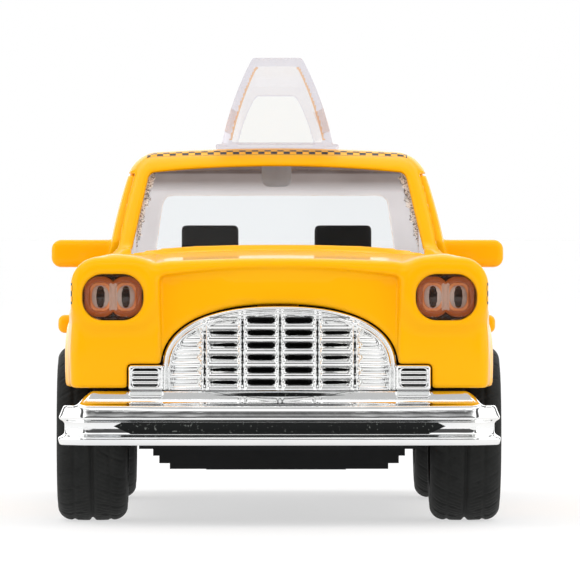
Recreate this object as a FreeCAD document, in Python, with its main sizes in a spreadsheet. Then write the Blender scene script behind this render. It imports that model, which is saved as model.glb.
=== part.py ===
"""A friction-driven toy taxi in 1:40 scale: die-cast body, chromed trim, plastic chassis and flywheel motor.

The car faces -Y, its left side is +X and it stands on Z = 0. Lengths are millimetres.
"""

import FreeCAD, Part

import math
import os
import re

import Sketcher

# ---- driving dimensions -------------------------------------------------------------------------

SIZES = {
    # whole car
    "overall_length": 127,
    "wheelbase": 76.2,
    "front_axle_y": -42,
    "axle_height": 10,
    "roof_height": 43,
    "wall": 1.2,
    "gap": 0.25,
    # lower body
    "body_end": 61.8,
    "body_half": 24,
    "sill_half": 23.3,
    "waist_height": 19,
    "sill_height": 9.5,
    "front_valance": 15.5,
    "rear_valance": 13.5,
    "hood_height": 31.2,
    "shoulder_fillet": 4,
    "corner_fillet": 2.5,
    "arch_reach": 11.6,
    # cabin
    "cowl_y": -22.4,
    "cabin_back_y": 38,
    "belt_height": 31.2,
    "cabin_base_half": 19.9,
    "cabin_top_half": 17.7,
    "roof_front_y": -13.2,
    "roof_back_y": 28.6,
    "roof_edge_height": 41.2,
    "window_low": 31.8,
    "window_high": 38.3,
    "screen_low_half": 17,
    "screen_high_half": 15,
    "screen_high": 40.1,
    "rear_screen_half": 14.4,
    "rear_screen_high": 37.4,
    # doors
    "door_front_y": -19.8,
    "door_back_y": 3,
    "door_low": 12.5,
    "door_high": 39.6,
    "door_back_gap": 0.65,
    "hinge_x": 22.9,
    "knuckle_reach": 1.1,
    "pin_reach": 0.4,
    "ear_low": 22.5,
    "ear_high": 24.5,
    "mirror_tip": 26.6,
    "mirror_low": 28.9,
    "mirror_high": 32.1,
    "handle_tip": 26.2,
    # face
    "nose_half": 13.3,
    "nose_depth": 1.5,
    "lamp_x": 18.7,
    "lamp_z": 25.7,
    "lamp_wide": 6.85,
    "lamp_tall": 5.15,
    "grille_half": 13.25,
    "grille_low": 15.2,
    "grille_high": 24.7,
    "grille_shoulder": 21,
    "grille_bow": 40,
    "grille_thick": 1.6,
    "parking_outer": 17,
    "parking_high": 18.1,
    # bumpers
    "bumper_half": 25,
    "bumper_low": 9.1,
    "bumper_high": 13.5,
    "bumper_depth": 2.2,
    "groove_low": 10.3,
    "groove_high": 11.7,
    "groove_depth": 0.5,
    # roof sign
    "sign_base_half": 6.6,
    "sign_top_half": 2.9,
    "sign_top": 53.7,
    "sign_back_top": 50.8,
    "sign_front_y": -12,
    "sign_back_y": 22,
    "sign_wall": 1.1,
    "flange_half": 7.3,
    "flange_thick": 0.6,
    "peg_reach": 1.85,
    # wheels
    "tyre_reach": 10,
    "rim_reach": 6.2,
    "tyre_inner_x": 17.2,
    "tyre_outer_x": 25.3,
    "tyre_fillet": 1.4,
    "axle_reach": 1,
    "running_clearance": 0.06,
    # chassis and interior
    "keel_low": 6.1,
    "floor_low": 8.6,
    "floor_high": 9.8,
    "floor_half": 21.8,
    "keel_half": 12.4,
    "tunnel_half": 15.8,
    "tub_half": 21.2,
    "tub_floor": 14.5,
    "headrest_top": 33.8,
    "headrest_half": 3.42,
    "seat_x": 8,
    # friction motor
    "motor_half": 8.5,
    "motor_wall": 0.9,
    "motor_low": 4.1,
    "motor_floor": 0.55,
    "motor_high": 22.6,
    "motor_front_y": 13.6,
    "motor_back_y": 41,
    "gear_module": 0.4,
    "drive_module": 0.3,
    "idler_lean": 35,
    "flywheel_lean": -5,
    "flywheel_reach": 6.1,
    "spindle_reach": 0.75,
}

# Tooth counts: the axle gear drives the small idler, and the large idler drives the flywheel pinion.
AXLE_TEETH = 24
PINION_TEETH = 12
IDLER_TEETH = 36
PRESSURE_ANGLE = math.radians(25)
BACKLASH = 0.10
TIP_SHORTENING = 0.04

doc = FreeCAD.newDocument("friction_taxi")
sheet = doc.addObject("Spreadsheet::Sheet", "Sizes")
for row, (alias, amount) in enumerate(SIZES.items(), 1):
    sheet.set(f"A{row}", alias)
    sheet.set(f"B{row}", str(amount))
    sheet.setAlias(f"B{row}", alias)
doc.recompute()

ALIASES = re.compile(r"\b(" + "|".join(SIZES) + r")\b")
made = {}


def bound(expression):
    """The expression with each alias pointed at its cell in the sheet."""
    return ALIASES.sub(r"Sizes.\1", str(expression))


def size(alias):
    """The number in an alias's cell."""
    return float(sheet.get(alias))


def bind(target, **properties):
    """Binds properties to expressions; a double underscore stands for a dot."""
    for name, expression in properties.items():
        target.setExpression(name.replace("__", "."), bound(expression))
    return target


# ---- building blocks ----------------------------------------------------------------------------


def body_plane(body, role):
    """The origin plane of a body by its role."""
    return next(f for f in body.Origin.OriginFeatures if f.Role == role)


def prism(name, plane, outline, length, start=None, radius=None, corners=None):
    """A body padded from a closed outline of (across, up) expressions.

    It is symmetric about the plane, or begins at the distance start along the plane's normal.
    corners picks which outline corners get the fillet radius; None means all of them.
    """
    body = doc.addObject("PartDesign::Body", name)
    sketch = body.newObject("Sketcher::SketchObject", name + "_sketch")
    sketch.AttachmentSupport = [(body_plane(body, plane), "")]
    sketch.MapMode = "FlatFace"
    count = len(outline)
    turn = 2 * math.pi / count
    seeds = [FreeCAD.Vector(60 * math.cos(turn * i), 60 * math.sin(turn * i), 0) for i in range(count)]
    for i in range(count):
        sketch.addGeometry(Part.LineSegment(seeds[i], seeds[(i + 1) % count]), False)
    for i in range(count):
        sketch.addConstraint(Sketcher.Constraint("Coincident", i, 2, (i + 1) % count, 1))
    for i, (across, up) in enumerate(outline):
        for kind, expression, seed in (("DistanceX", across, seeds[i].x), ("DistanceY", up, seeds[i].y)):
            index = sketch.addConstraint(Sketcher.Constraint(kind, -1, 1, i, 1, seed))
            sketch.setExpression(f"Constraints[{index}]", bound(expression))
    pad = body.newObject("PartDesign::Pad", name + "_pad")
    pad.Profile = sketch
    bind(pad, Length=length)
    if start is None:
        pad.SideType = "Symmetric"
    else:
        sketch.setExpression(".AttachmentOffset.Base.z", bound(start))
    if radius is not None:
        doc.recompute()
        round_corners(body, pad, sketch, radius, corners)
    return body


def round_corners(body, pad, sketch, radius, corners):
    """Fillets the pad's edges that stand on the chosen corners of its sketch."""
    frame = sketch.getGlobalPlacement()
    normal = frame.Rotation.multVec(FreeCAD.Vector(0, 0, 1))
    points = [frame.multVec(g.StartPoint) for g in sketch.Geometry]
    chosen = points if corners is None else [points[i] for i in corners]
    names = []
    for number, edge in enumerate(pad.Shape.Edges, 1):
        start, end = edge.Vertexes[0].Point, edge.Vertexes[-1].Point
        along = end.sub(start)
        if along.Length > 1e-6 and abs(along.dot(normal)) > 0.999 * along.Length:
            if any(start.sub(p).cross(normal).Length < 1e-4 for p in chosen):
                names.append(f"Edge{number}")
    fillet = body.newObject("PartDesign::Fillet", body.Name + "_fillet")
    fillet.Base = (pad, names)
    bind(fillet, Radius=radius)


def block(name, low, high):
    """A box between two corners given as expressions."""
    box = doc.addObject("Part::Box", name)
    spans = [f"({h}) - ({l})" for l, h in zip(low, high)]
    bind(box, Length=spans[0], Width=spans[1], Height=spans[2])
    for axis, place in zip("xyz", low):
        box.setExpression("Placement.Base." + axis, bound(place))
    return box


AXIS_TURN = {
    "x": FreeCAD.Rotation(FreeCAD.Vector(0, 1, 0), 90),
    "y": FreeCAD.Rotation(FreeCAD.Vector(1, 0, 0), -90),
    "z": FreeCAD.Rotation(),
}


def rod(name, axis, radius, base, length):
    """A cylinder that starts at base and runs along +X, +Y or +Z."""
    cylinder = doc.addObject("Part::Cylinder", name)
    cylinder.Placement = FreeCAD.Placement(FreeCAD.Vector(), AXIS_TURN[axis])
    bind(cylinder, Radius=radius, Height=length)
    for letter, place in zip("xyz", base):
        cylinder.setExpression("Placement.Base." + letter, bound(place))
    return cylinder


def joined(name, pieces):
    """One solid from several."""
    result = doc.addObject("Part::MultiFuse", name)
    result.Shapes = pieces
    result.Refine = True
    return result


def shared(name, pieces):
    """The space that all the pieces share."""
    result = doc.addObject("Part::MultiCommon", name)
    result.Shapes = pieces
    return result


def cut(name, base, tools):
    """The base with every tool taken away."""
    tool = tools[0] if len(tools) == 1 else joined(name + "_tools", tools)
    result = doc.addObject("Part::Cut", name)
    result.Base = base
    result.Tool = tool
    result.Refine = True
    return result


def group(name, pieces):
    """Separate solids kept in one node."""
    result = doc.addObject("Part::Compound", name)
    result.Links = pieces
    return result


def node(label, feature):
    """Names a finished sub-part."""
    feature.Label = label
    made[label] = feature
    return feature


# ---- body volumes -------------------------------------------------------------------------------


def lower_volume(name, inset, drop):
    """The lower body: side profile, plan and cross-section shared; inset shrinks it on every side."""
    inset = f"({inset})"
    side = prism(
        name + "_side",
        "YZ_Plane",
        [
            (f"-body_end + {inset}", f"front_valance - {drop}"),
            (f"-body_end + {inset}", f"28.6 - {inset}"),
            (f"-body_end + 2.4 + {inset}", f"30.2 - {inset}"),
            (f"cowl_y", f"hood_height - {inset}"),
            (f"cabin_back_y", f"hood_height - 0.4 - {inset}"),
            (f"body_end - 6 - {inset}", f"29 - {inset}"),
            (f"body_end - 1.2 - {inset}", f"25.5 - {inset}"),
            (f"body_end - {inset}", f"rear_valance + 3 - {inset}"),
            (f"body_end - 0.8 - {inset}", f"rear_valance - {drop}"),
            (f"front_axle_y + wheelbase + arch_reach", f"rear_valance - {drop}"),
            (f"front_axle_y + wheelbase + arch_reach - 2", f"sill_height - {drop}"),
            (f"front_axle_y - arch_reach + 2", f"sill_height - {drop}"),
            (f"front_axle_y - arch_reach", f"front_valance - {drop}"),
        ],
        "2 * body_half + 10",
    )
    section = prism(
        name + "_section",
        "XZ_Plane",
        [
            (f"sill_half - {inset}", f"sill_height - 1 - {drop}"),
            (f"body_half - {inset}", "waist_height"),
            (f"body_half - 0.5 - {inset}", "waist_height + 7"),
            (f"body_half - 2.6 - {inset}", f"hood_height + 0.4 - {inset}"),
            (f"-body_half + 2.6 + {inset}", f"hood_height + 0.4 - {inset}"),
            (f"-body_half + 0.5 + {inset}", "waist_height + 7"),
            (f"-body_half + {inset}", "waist_height"),
            (f"-sill_half + {inset}", f"sill_height - 1 - {drop}"),
        ],
        "2 * body_end + 10",
        radius=f"shoulder_fillet - {inset}",
        corners=[3, 4],
    )
    plan = prism(
        name + "_plan",
        "XY_Plane",
        [
            (f"-body_half + {inset}", f"-body_end + {inset}"),
            (f"body_half - {inset}", f"-body_end + {inset}"),
            (f"body_half - {inset}", f"body_end - {inset}"),
            (f"-body_half + {inset}", f"body_end - {inset}"),
        ],
        "100",
        radius=f"corner_fillet - {inset}",
    )
    return shared(name, [side, section, plan])


def cabin_volume(name, inset):
    """The cabin above the belt line."""
    inset = f"({inset})"
    side = prism(
        name + "_side",
        "YZ_Plane",
        [
            (f"cowl_y + {inset}", "belt_height - 3"),
            (f"cowl_y + {inset}", "belt_height - 0.4"),
            (f"roof_front_y + {inset}", f"roof_edge_height - {inset}"),
            (f"roof_front_y + 5 + {inset}", f"roof_height - 0.5 - {inset}"),
            ("5", f"roof_height - {inset}"),
            (f"roof_back_y - 7 - {inset}", f"roof_height - 0.6 - {inset}"),
            (f"roof_back_y - {inset}", f"roof_edge_height - {inset}"),
            (f"cabin_back_y - {inset}", "belt_height - 0.6"),
            (f"cabin_back_y - {inset}", "belt_height - 3"),
        ],
        "2 * body_half",
        radius="2.5",
        corners=[2, 6],
    )
    section = prism(
        name + "_section",
        "XZ_Plane",
        [
            (f"cabin_base_half - {inset}", "belt_height - 3"),
            (f"cabin_top_half - {inset}", f"roof_height - 2 - {inset}"),
            (f"cabin_top_half - 4.2 - {inset}", f"roof_height - 0.5 - {inset}"),
            ("0", f"roof_height - {inset}"),
            (f"-cabin_top_half + 4.2 + {inset}", f"roof_height - 0.5 - {inset}"),
            (f"-cabin_top_half + {inset}", f"roof_height - 2 - {inset}"),
            (f"-cabin_base_half + {inset}", "belt_height - 3"),
        ],
        "2 * body_end",
        radius="2",
        corners=[1, 5],
    )
    return shared(name, [side, section])


outer = joined("outer_volume", [lower_volume("lower_outer", "0", "0"), cabin_volume("cabin_outer", "0")])
lower_inner = lower_volume("lower_inner", "wall", "4")
inner = joined("inner_volume", [lower_inner, cabin_volume("cabin_inner", "wall")])

REAR_AXLE_Y = "front_axle_y + wheelbase"


def screw_post(name, place_y, top):
    """A hollow post under the body that a chassis screw runs up into."""
    post = rod(name, "z", "2.4", ("0", place_y, "floor_high + 3"), f"{top} - floor_high - 3")
    hole = rod(name + "_hole", "z", "0.85", ("0", place_y, "floor_high + 2"), "9")
    return post, hole


FRONT_POST_Y = "-29"
REAR_POST_Y = "49.5"


# ---- openings in the body -----------------------------------------------------------------------


def side_window(name, outline):
    """A window-shaped prism right through the cabin from side to side."""
    return prism(name, "YZ_Plane", outline, "2 * body_half + 10", radius="1")


def arch_outline(grow):
    """The grille's arch seen from the front."""
    return [
        (f"grille_half + {grow}", "grille_low - 1"),
        (f"grille_half - 0.15 + {grow}", "parking_high + 0.2"),
        (f"grille_half - 2.2 + {grow}", f"grille_shoulder + 0.7 + {grow}"),
        (f"grille_half - 7.1 + {grow}", f"grille_high - 0.5 + {grow}"),
        ("0", f"grille_high + {grow}"),
        (f"-grille_half + 7.1 - {grow}", f"grille_high - 0.5 + {grow}"),
        (f"-grille_half + 2.2 - {grow}", f"grille_shoulder + 0.7 + {grow}"),
        (f"-grille_half + 0.15 - {grow}", "parking_high + 0.2"),
        (f"-grille_half - {grow}", "grille_low - 1"),
    ]


def lamp_recess(name, side):
    """The rounded opening in a headlight pod."""
    return prism(
        name,
        "XZ_Plane",
        [
            (f"{side} * lamp_x - lamp_wide / 2", "lamp_z - lamp_tall / 2"),
            (f"{side} * lamp_x + lamp_wide / 2", "lamp_z - lamp_tall / 2"),
            (f"{side} * lamp_x + lamp_wide / 2", "lamp_z + lamp_tall / 2"),
            (f"{side} * lamp_x - lamp_wide / 2", "lamp_z + lamp_tall / 2"),
        ],
        "8",
        start="body_end - 4",
        radius="2.2",
    )


def body_openings():
    """Everything cut from the body's casting."""
    windscreen = prism(
        "windscreen_opening",
        "XZ_Plane",
        [
            ("screen_low_half", "belt_height - 0.1"),
            ("screen_high_half", "screen_high"),
            ("-screen_high_half", "screen_high"),
            ("-screen_low_half", "belt_height - 0.1"),
        ],
        "18",
        start="7",
        radius="1.3",
        corners=[1, 2],
    )
    rear_screen = prism(
        "rear_screen_opening",
        "XZ_Plane",
        [
            ("rear_screen_half", "window_low"),
            ("rear_screen_half", "rear_screen_high"),
            ("-rear_screen_half", "rear_screen_high"),
            ("-rear_screen_half", "window_low"),
        ],
        "18",
        start="-42",
        radius="1.8",
    )
    rear_door_window = side_window(
        "rear_door_window",
        [("5.8", "window_low"), ("5.8", "window_high"), ("18.4", "window_high"), ("18.4", "window_low")],
    )
    quarter_window = side_window(
        "quarter_window",
        [("20.4", "window_low"), ("20.4", "window_high"), ("24.2", "window_high"), ("27.6", "window_low")],
    )
    doorway = prism(
        "doorway",
        "YZ_Plane",
        [
            ("door_front_y - gap", "door_low - gap"),
            ("door_front_y - gap", "belt_height - 0.2"),
            ("door_front_y + 7.8 - gap", "door_high + gap"),
            ("door_back_y + door_back_gap", "door_high + gap"),
            ("door_back_y + door_back_gap", "door_low - gap"),
        ],
        "2 * body_half + 10",
    )
    nose = block(
        "nose_recess",
        ("-nose_half", "-body_end - 1", "front_valance - 1"),
        ("nose_half", "-body_end + nose_depth", "hood_height + 2"),
    )
    grille = prism("grille_opening", "XZ_Plane", arch_outline("0.15"), "10", start="body_end - 6")
    notch = block(
        "parking_notch",
        ("-parking_outer - 0.15", "-body_end - 1", "front_valance - 1"),
        ("parking_outer + 0.15", "-body_end + 4", "parking_high + 0.15"),
    )
    arches = [
        rod(
            name + "_arches",
            "x",
            "arch_reach",
            ("-body_half - 5", place, "axle_height"),
            "2 * body_half + 10",
        )
        for name, place in (("front", "front_axle_y"), ("rear", REAR_AXLE_Y))
    ]
    tails = [
        block(
            f"tail_recess_{name}",
            (f"{side} * 18.9 - 2.9", "body_end - 6", "17.4"),
            (f"{side} * 18.9 + 2.9", "body_end + 2", "22.6"),
        )
        for name, side in (("left", 1), ("right", -1))
    ]
    peg = rod("sign_peg_hole", "z", "peg_reach + 0.1", ("0", "5", "roof_height - 6"), "8")
    return [
        windscreen,
        rear_screen,
        rear_door_window,
        quarter_window,
        doorway,
        nose,
        grille,
        notch,
        *arches,
        *tails,
        lamp_recess("lamp_opening_left", 1),
        lamp_recess("lamp_opening_right", -1),
        peg,
    ]


HINGE_Y = "door_front_y + knuckle_reach"


def hinge_ear(side_name, side):
    """The body's knuckle round the hinge pin, its web, and the boss in the sill."""
    foot = (f"{side} * hinge_x", HINGE_Y, "ear_low")
    ear = rod(f"ear_{side_name}", "z", "0.85", foot, "ear_high - ear_low")
    web = block(
        f"ear_web_{side_name}",
        (f"{side} * (hinge_x - 0.1) - 0.6", "door_front_y - 1.5", "ear_low"),
        (f"{side} * (hinge_x - 0.1) + 0.6", HINGE_Y, "ear_high"),
    )
    boss = block(
        f"sill_boss_{side_name}",
        (f"{side} * (hinge_x - 0.6) - 0.9", f"{HINGE_Y} - 2.2", "floor_high + 0.1"),
        (f"{side} * (hinge_x - 0.6) + 0.9", f"{HINGE_Y} + 2.2", "door_low - gap"),
    )
    return [ear, web, boss]


def pin_bore(side_name, side):
    """The hole that the hinge pin runs through."""
    return rod(
        f"pin_bore_{side_name}",
        "z",
        "pin_reach",
        (f"{side} * hinge_x", HINGE_Y, "sill_height + 1"),
        "ear_high - sill_height",
    )


SIDES = (("left", 1), ("right", -1))

front_post, front_post_hole = screw_post("front_post", FRONT_POST_Y, "hood_height - 1")
rear_post, rear_post_hole = screw_post("rear_post", REAR_POST_Y, "hood_height - 2")
skin = cut("body_skin", outer, [inner, *body_openings()])
lamp_walls = shared(
    "nose_panel",
    [
        outer,
        block(
            "nose_slab",
            ("-nose_half - 1.2", "-body_end + nose_depth", "front_valance"),
            ("nose_half + 1.2", "-body_end + nose_depth + wall", "hood_height"),
        ),
    ],
)
nose_panel = cut(
    "nose_wall",
    lamp_walls,
    [
        prism("nose_grille_opening", "XZ_Plane", arch_outline("0.15"), "10", start="body_end - 6"),
        block(
            "nose_notch",
            ("-parking_outer - 0.15", "-body_end - 1", "front_valance - 1"),
            ("parking_outer + 0.15", "-body_end + 4", "parking_high + 0.15"),
        ),
    ],
)
ears = [piece for name, side in SIDES for piece in hinge_ear(name, side)]
body_solid = joined("body_casting", [skin, nose_panel, front_post, rear_post, *ears])
body_holes = [front_post_hole, rear_post_hole, *[pin_bore(name, side) for name, side in SIDES]]
node("body_shell", cut("body_finished", body_solid, body_holes))


# ---- doors --------------------------------------------------------------------------------------


def door(side_name, side):
    """A front door with its knuckle, mirror and handle, hung on a pin."""
    low_x, high_x = ("14", "body_half + 4") if side > 0 else ("-body_half - 4", "-14")
    length = "body_half - 10"
    start = "14" if side > 0 else "-body_half - 4"
    leaf = prism(
        f"door_leaf_{side_name}",
        "YZ_Plane",
        [
            ("door_front_y + knuckle_reach", "door_low"),
            ("door_front_y + knuckle_reach", "belt_height + 0.8"),
            ("door_front_y + 7.8 + gap", "door_high"),
            ("door_back_y", "door_high"),
            ("door_back_y", "door_low"),
        ],
        length,
        start=start,
    )
    nose = rod(
        f"door_nose_{side_name}",
        "z",
        "knuckle_reach",
        (f"{side} * hinge_x", HINGE_Y, "door_low"),
        "belt_height - door_low",
    )
    window = prism(
        f"door_window_{side_name}",
        "YZ_Plane",
        [("-16.2", "window_low"), ("-10.6", "window_high"), ("1.3", "window_high"), ("1.3", "window_low")],
        length,
        start=start,
        radius="0.8",
    )
    panel = shared(f"door_panel_{side_name}", [outer, joined(f"door_blank_{side_name}", [leaf, nose])])
    hollow = cut(f"door_hollow_{side_name}", panel, [inner, window])
    knuckle = rod(
        f"door_knuckle_{side_name}",
        "z",
        "0.95",
        (f"{side} * hinge_x", HINGE_Y, "door_low"),
        "ear_low - gap - door_low",
    )
    mirror = block(
        f"mirror_{side_name}",
        (f"{side} * (mirror_tip + 19.6) / 2 - (mirror_tip - 19.6) / 2", "-17.6", "mirror_low"),
        (f"{side} * (mirror_tip + 19.6) / 2 + (mirror_tip - 19.6) / 2", "-15.4", "mirror_high"),
    )
    handle = block(
        f"handle_{side_name}",
        (f"{side} * (handle_tip + 22.9) / 2 - (handle_tip - 22.9) / 2", "-2.6", "20.7"),
        (f"{side} * (handle_tip + 22.9) / 2 + (handle_tip - 22.9) / 2", "1.4", "23.3"),
    )
    solid = joined(f"door_solid_{side_name}", [hollow, knuckle, mirror, handle])
    ear_room = block(
        f"ear_room_{side_name}",
        (f"{side} * hinge_x - 2", "door_front_y - 1", "ear_low - gap"),
        (f"{side} * hinge_x + 2", f"{HINGE_Y} + 1.2", "ear_high + gap"),
    )
    bore = rod(
        f"door_bore_{side_name}",
        "z",
        "pin_reach + running_clearance",
        (f"{side} * hinge_x", HINGE_Y, "door_low - 1"),
        "ear_low - door_low + 2",
    )
    return cut(f"door_finished_{side_name}", solid, [ear_room, bore])


for side_name, side in SIDES:
    node(f"door_{side_name}", door(side_name, side))
    node(
        f"hinge_pin_{side_name}",
        rod(
            f"hinge_pin_{side_name}_rod",
            "z",
            "pin_reach",
            (f"{side} * hinge_x", HINGE_Y, "sill_height + 1"),
            "ear_high - sill_height - 1",
        ),
    )


# ---- glazing and interior -----------------------------------------------------------------------


def glazing():
    """One clear moulding: windscreen, rear screen, rear side windows and the sheet that joins them."""
    glass_inside = cabin_volume("glass_inside", "wall + 0.9")
    glass = cut("glass_sheet", cabin_volume("glass_outside", "wall + 0.1"), [glass_inside])
    below = block(
        "glass_below", ("-body_half", "-body_end", "0"), ("body_half", "body_end", "belt_height - 1.2")
    )
    trims = [below]
    for side_name, side in SIDES:
        low_x, high_x = "screen_low_half - 0.6", "body_half"
        if side < 0:
            low_x, high_x = "-body_half", "-screen_low_half + 0.6"
        trims.append(
            block(
                f"glass_door_room_{side_name}",
                (low_x, "cowl_y - 2", "0"),
                (high_x, "door_back_y + 1.2", "roof_height - 3.2"),
            )
        )
    trims.append(rod("glass_peg_hole", "z", "peg_reach + 0.1", ("0", "5", "roof_height - 6"), "8"))
    for number, trim in enumerate(trims):
        glass = cut(f"glass_trimmed_{number}", glass, [trim])
    return glass


node("cabin_glazing", glazing())


def seat_pair():
    """Two front seats: cushion, leaning back and a narrow headrest each."""
    pieces = []
    for side_name, side in SIDES:
        cushion = block(
            f"cushion_{side_name}",
            (f"{side} * seat_x - 6.4", "-6.5", "tub_floor"),
            (f"{side} * seat_x + 6.4", "4", "tub_floor + 6.5"),
        )
        back = prism(
            f"seat_back_{side_name}",
            "YZ_Plane",
            [("1.5", "tub_floor"), ("2.6", "29.2"), ("5.6", "29.2"), ("6.5", "tub_floor")],
            "12.6",
            start=f"{side} * seat_x - 6.3",
        )
        headrest = prism(
            f"headrest_{side_name}",
            "YZ_Plane",
            [("2.9", "28"), ("3.2", "headrest_top"), ("5.6", "headrest_top"), ("5.8", "28")],
            "2 * headrest_half",
            start=f"{side} * seat_x - headrest_half",
            radius="0.5",
            corners=[1, 2],
        )
        pieces += [cushion, back, headrest]
    return pieces


def steering_wheel():
    """A ring with three spokes on a short column that leans down to the dashboard."""
    lean = FreeCAD.Rotation(FreeCAD.Vector(1, 0, 0), -55)
    centre = FreeCAD.Vector(size("seat_x"), -12.2, 27.4)
    ring = doc.addObject("Part::Torus", "steering_ring")
    bind(ring, Radius1="3.1", Radius2="0.4")
    ring.Placement = FreeCAD.Placement(centre, lean)
    pieces = [ring]
    for turn in (30, 150, 270):
        spoke = doc.addObject("Part::Box", f"spoke_{turn}")
        bind(spoke, Length="3.1", Width="0.7", Height="0.6")
        turned = lean.multiply(FreeCAD.Rotation(FreeCAD.Vector(0, 0, 1), turn))
        start = centre.add(turned.multVec(FreeCAD.Vector(0, -0.35, -0.3)))
        spoke.Placement = FreeCAD.Placement(start, turned)
        pieces.append(spoke)
    column = doc.addObject("Part::Cylinder", "steering_column")
    bind(column, Radius="0.7", Height="4")
    column.Placement = FreeCAD.Placement(centre.add(lean.multVec(FreeCAD.Vector(0, 0, -3.8))), lean)
    return [*pieces, column]


def interior_tub():
    """The black interior moulding: floor, seats, rear bench over the motor, dashboard and steering wheel."""
    front_floor = block(
        "tub_front_floor", ("-tub_half", "-19", "tub_floor - 1.2"), ("tub_half", "9", "tub_floor")
    )
    riser = block("tub_riser", ("-tub_half", "8", "tub_floor - 1.2"), ("tub_half", "9.6", "24.4"))
    bench = block("tub_bench", ("-tub_half", "8", "23.2"), ("tub_half", "31", "25.6"))
    bench_back = prism(
        "bench_back",
        "YZ_Plane",
        [("27.4", "23.2"), ("29.3", "29.8"), ("31.4", "29.8"), ("31.4", "23.2")],
        "2 * tub_half - 6",
    )
    dashboard = prism(
        "dashboard",
        "YZ_Plane",
        [
            ("-19", "tub_floor - 1.2"),
            ("-19", "28.6"),
            ("-17", "29.2"),
            ("-14.6", "27.8"),
            ("-14.6", "25"),
            ("-17.4", "24"),
            ("-17.4", "tub_floor - 1.2"),
        ],
        "2 * tub_half - 3.6",
    )
    shell = [front_floor, riser, bench, bench_back, dashboard]
    return joined("tub_solid", [*shell, *seat_pair(), *steering_wheel()])


node("interior_tub", interior_tub())


# ---- roof sign ----------------------------------------------------------------------------------


def sign_tent(name, inset, front, back):
    """A tent with bulging sides whose ridge falls towards the back; a loft between two outlines."""
    outlines = []
    for place, top, share in ((front, size("sign_top"), 1.0), (back, size("sign_back_top"), 0.9)):
        foot = size("sign_base_half") * share - inset
        head = size("sign_top_half") - inset * 0.5
        low = size("roof_height") + size("flange_thick") - (1.0 if inset else 0.0)
        high = top - inset
        middle = (low + high) / 2
        bulge = 0.6
        right = [FreeCAD.Vector(foot, place, low), FreeCAD.Vector((foot + head) / 2 + bulge, place, middle)]
        right.append(FreeCAD.Vector(head, place, high))
        left = [FreeCAD.Vector(-p.x, p.y, p.z) for p in right]
        outlines.append(
            Part.Wire(
                [
                    Part.Arc(*right).toShape(),
                    Part.makeLine(right[2], left[2]),
                    Part.Arc(left[2], left[1], left[0]).toShape(),
                    Part.makeLine(left[0], right[0]),
                ]
            )
        )
    feature = doc.addObject("Part::Feature", name)
    feature.Shape = Part.makeLoft(outlines, True, True)
    return feature


def roof_sign():
    """The clear advertising tent on the roof, closed at its back end, with a flange and a peg."""
    tent = sign_tent("sign_outside", 0, size("sign_front_y"), size("sign_back_y"))
    hollow = sign_tent("sign_inside", size("sign_wall"), size("sign_front_y") - 4, size("sign_back_y") - 1)
    arch = cut("sign_arch", tent, [hollow])
    flange = block(
        "sign_flange",
        ("-flange_half", "sign_front_y - 0.8", "roof_height"),
        ("flange_half", "sign_back_y + 0.8", "roof_height + flange_thick"),
    )
    peg = rod("sign_peg", "z", "peg_reach", ("0", "5", "roof_height - 4.6"), "5")
    return joined("sign_solid", [arch, flange, peg])


node("roof_sign", roof_sign())


# ---- face: grille, bumpers and lamps ------------------------------------------------------------

GRILLE_ROWS = 6
GRILLE_PITCH = 1.4
GRILLE_COLUMNS = 6
COLUMN_PITCH = 4.27


def front_grille():
    """The arched grille, bowed in plan, with slots between its bars and a parking lamp at each foot."""
    plate = prism("grille_plate", "XZ_Plane", arch_outline("0"), "6", start="body_end - 5")
    base = block(
        "grille_foot_trim", ("-body_half", "-body_end - 3", "0"), ("body_half", "-body_end + 9", "grille_low")
    )
    bow = rod("grille_bow_front", "z", "grille_bow", ("0", "-body_end + 0.6 + grille_bow", "0"), "60")
    hollow = rod(
        "grille_bow_back", "z", "grille_bow - grille_thick", ("0", "-body_end + 0.6 + grille_bow", "0"), "60"
    )
    arch = cut("grille_arch", shared("grille_bowed", [plate, bow]), [hollow, base])
    slots = []
    for row in range(GRILLE_ROWS):
        low = f"grille_low + 1 + {row} * {GRILLE_PITCH}"
        reach = [2.95, 2.95, 2.95, 2.95, 1.95, 1.95][row]
        columns = [i - (GRILLE_COLUMNS - 1) / 2 for i in range(GRILLE_COLUMNS)]
        for column in columns:
            if abs(column) < reach - 0.4:
                slots.append(
                    block(
                        f"slot_{row}_{int(column + 3)}",
                        (f"{column * COLUMN_PITCH} - 1.6", "-body_end - 2", low),
                        (f"{column * COLUMN_PITCH} + 1.6", "-body_end + 4", f"{low} + 0.5"),
                    )
                )
    slotted = cut("grille_slotted", arch, slots)
    lamps = [
        block(
            f"parking_lamp_{name}",
            (f"{side} * (parking_outer + nose_half - 0.5) / 2 - 2.1", "-body_end - 0.1", "grille_low"),
            (f"{side} * (parking_outer + nose_half - 0.5) / 2 + 2.1", "-body_end + 3.3", "parking_high"),
        )
        for name, side in SIDES
    ]
    return joined("grille_solid", [slotted, *lamps])


node("front_grille", front_grille())


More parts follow.
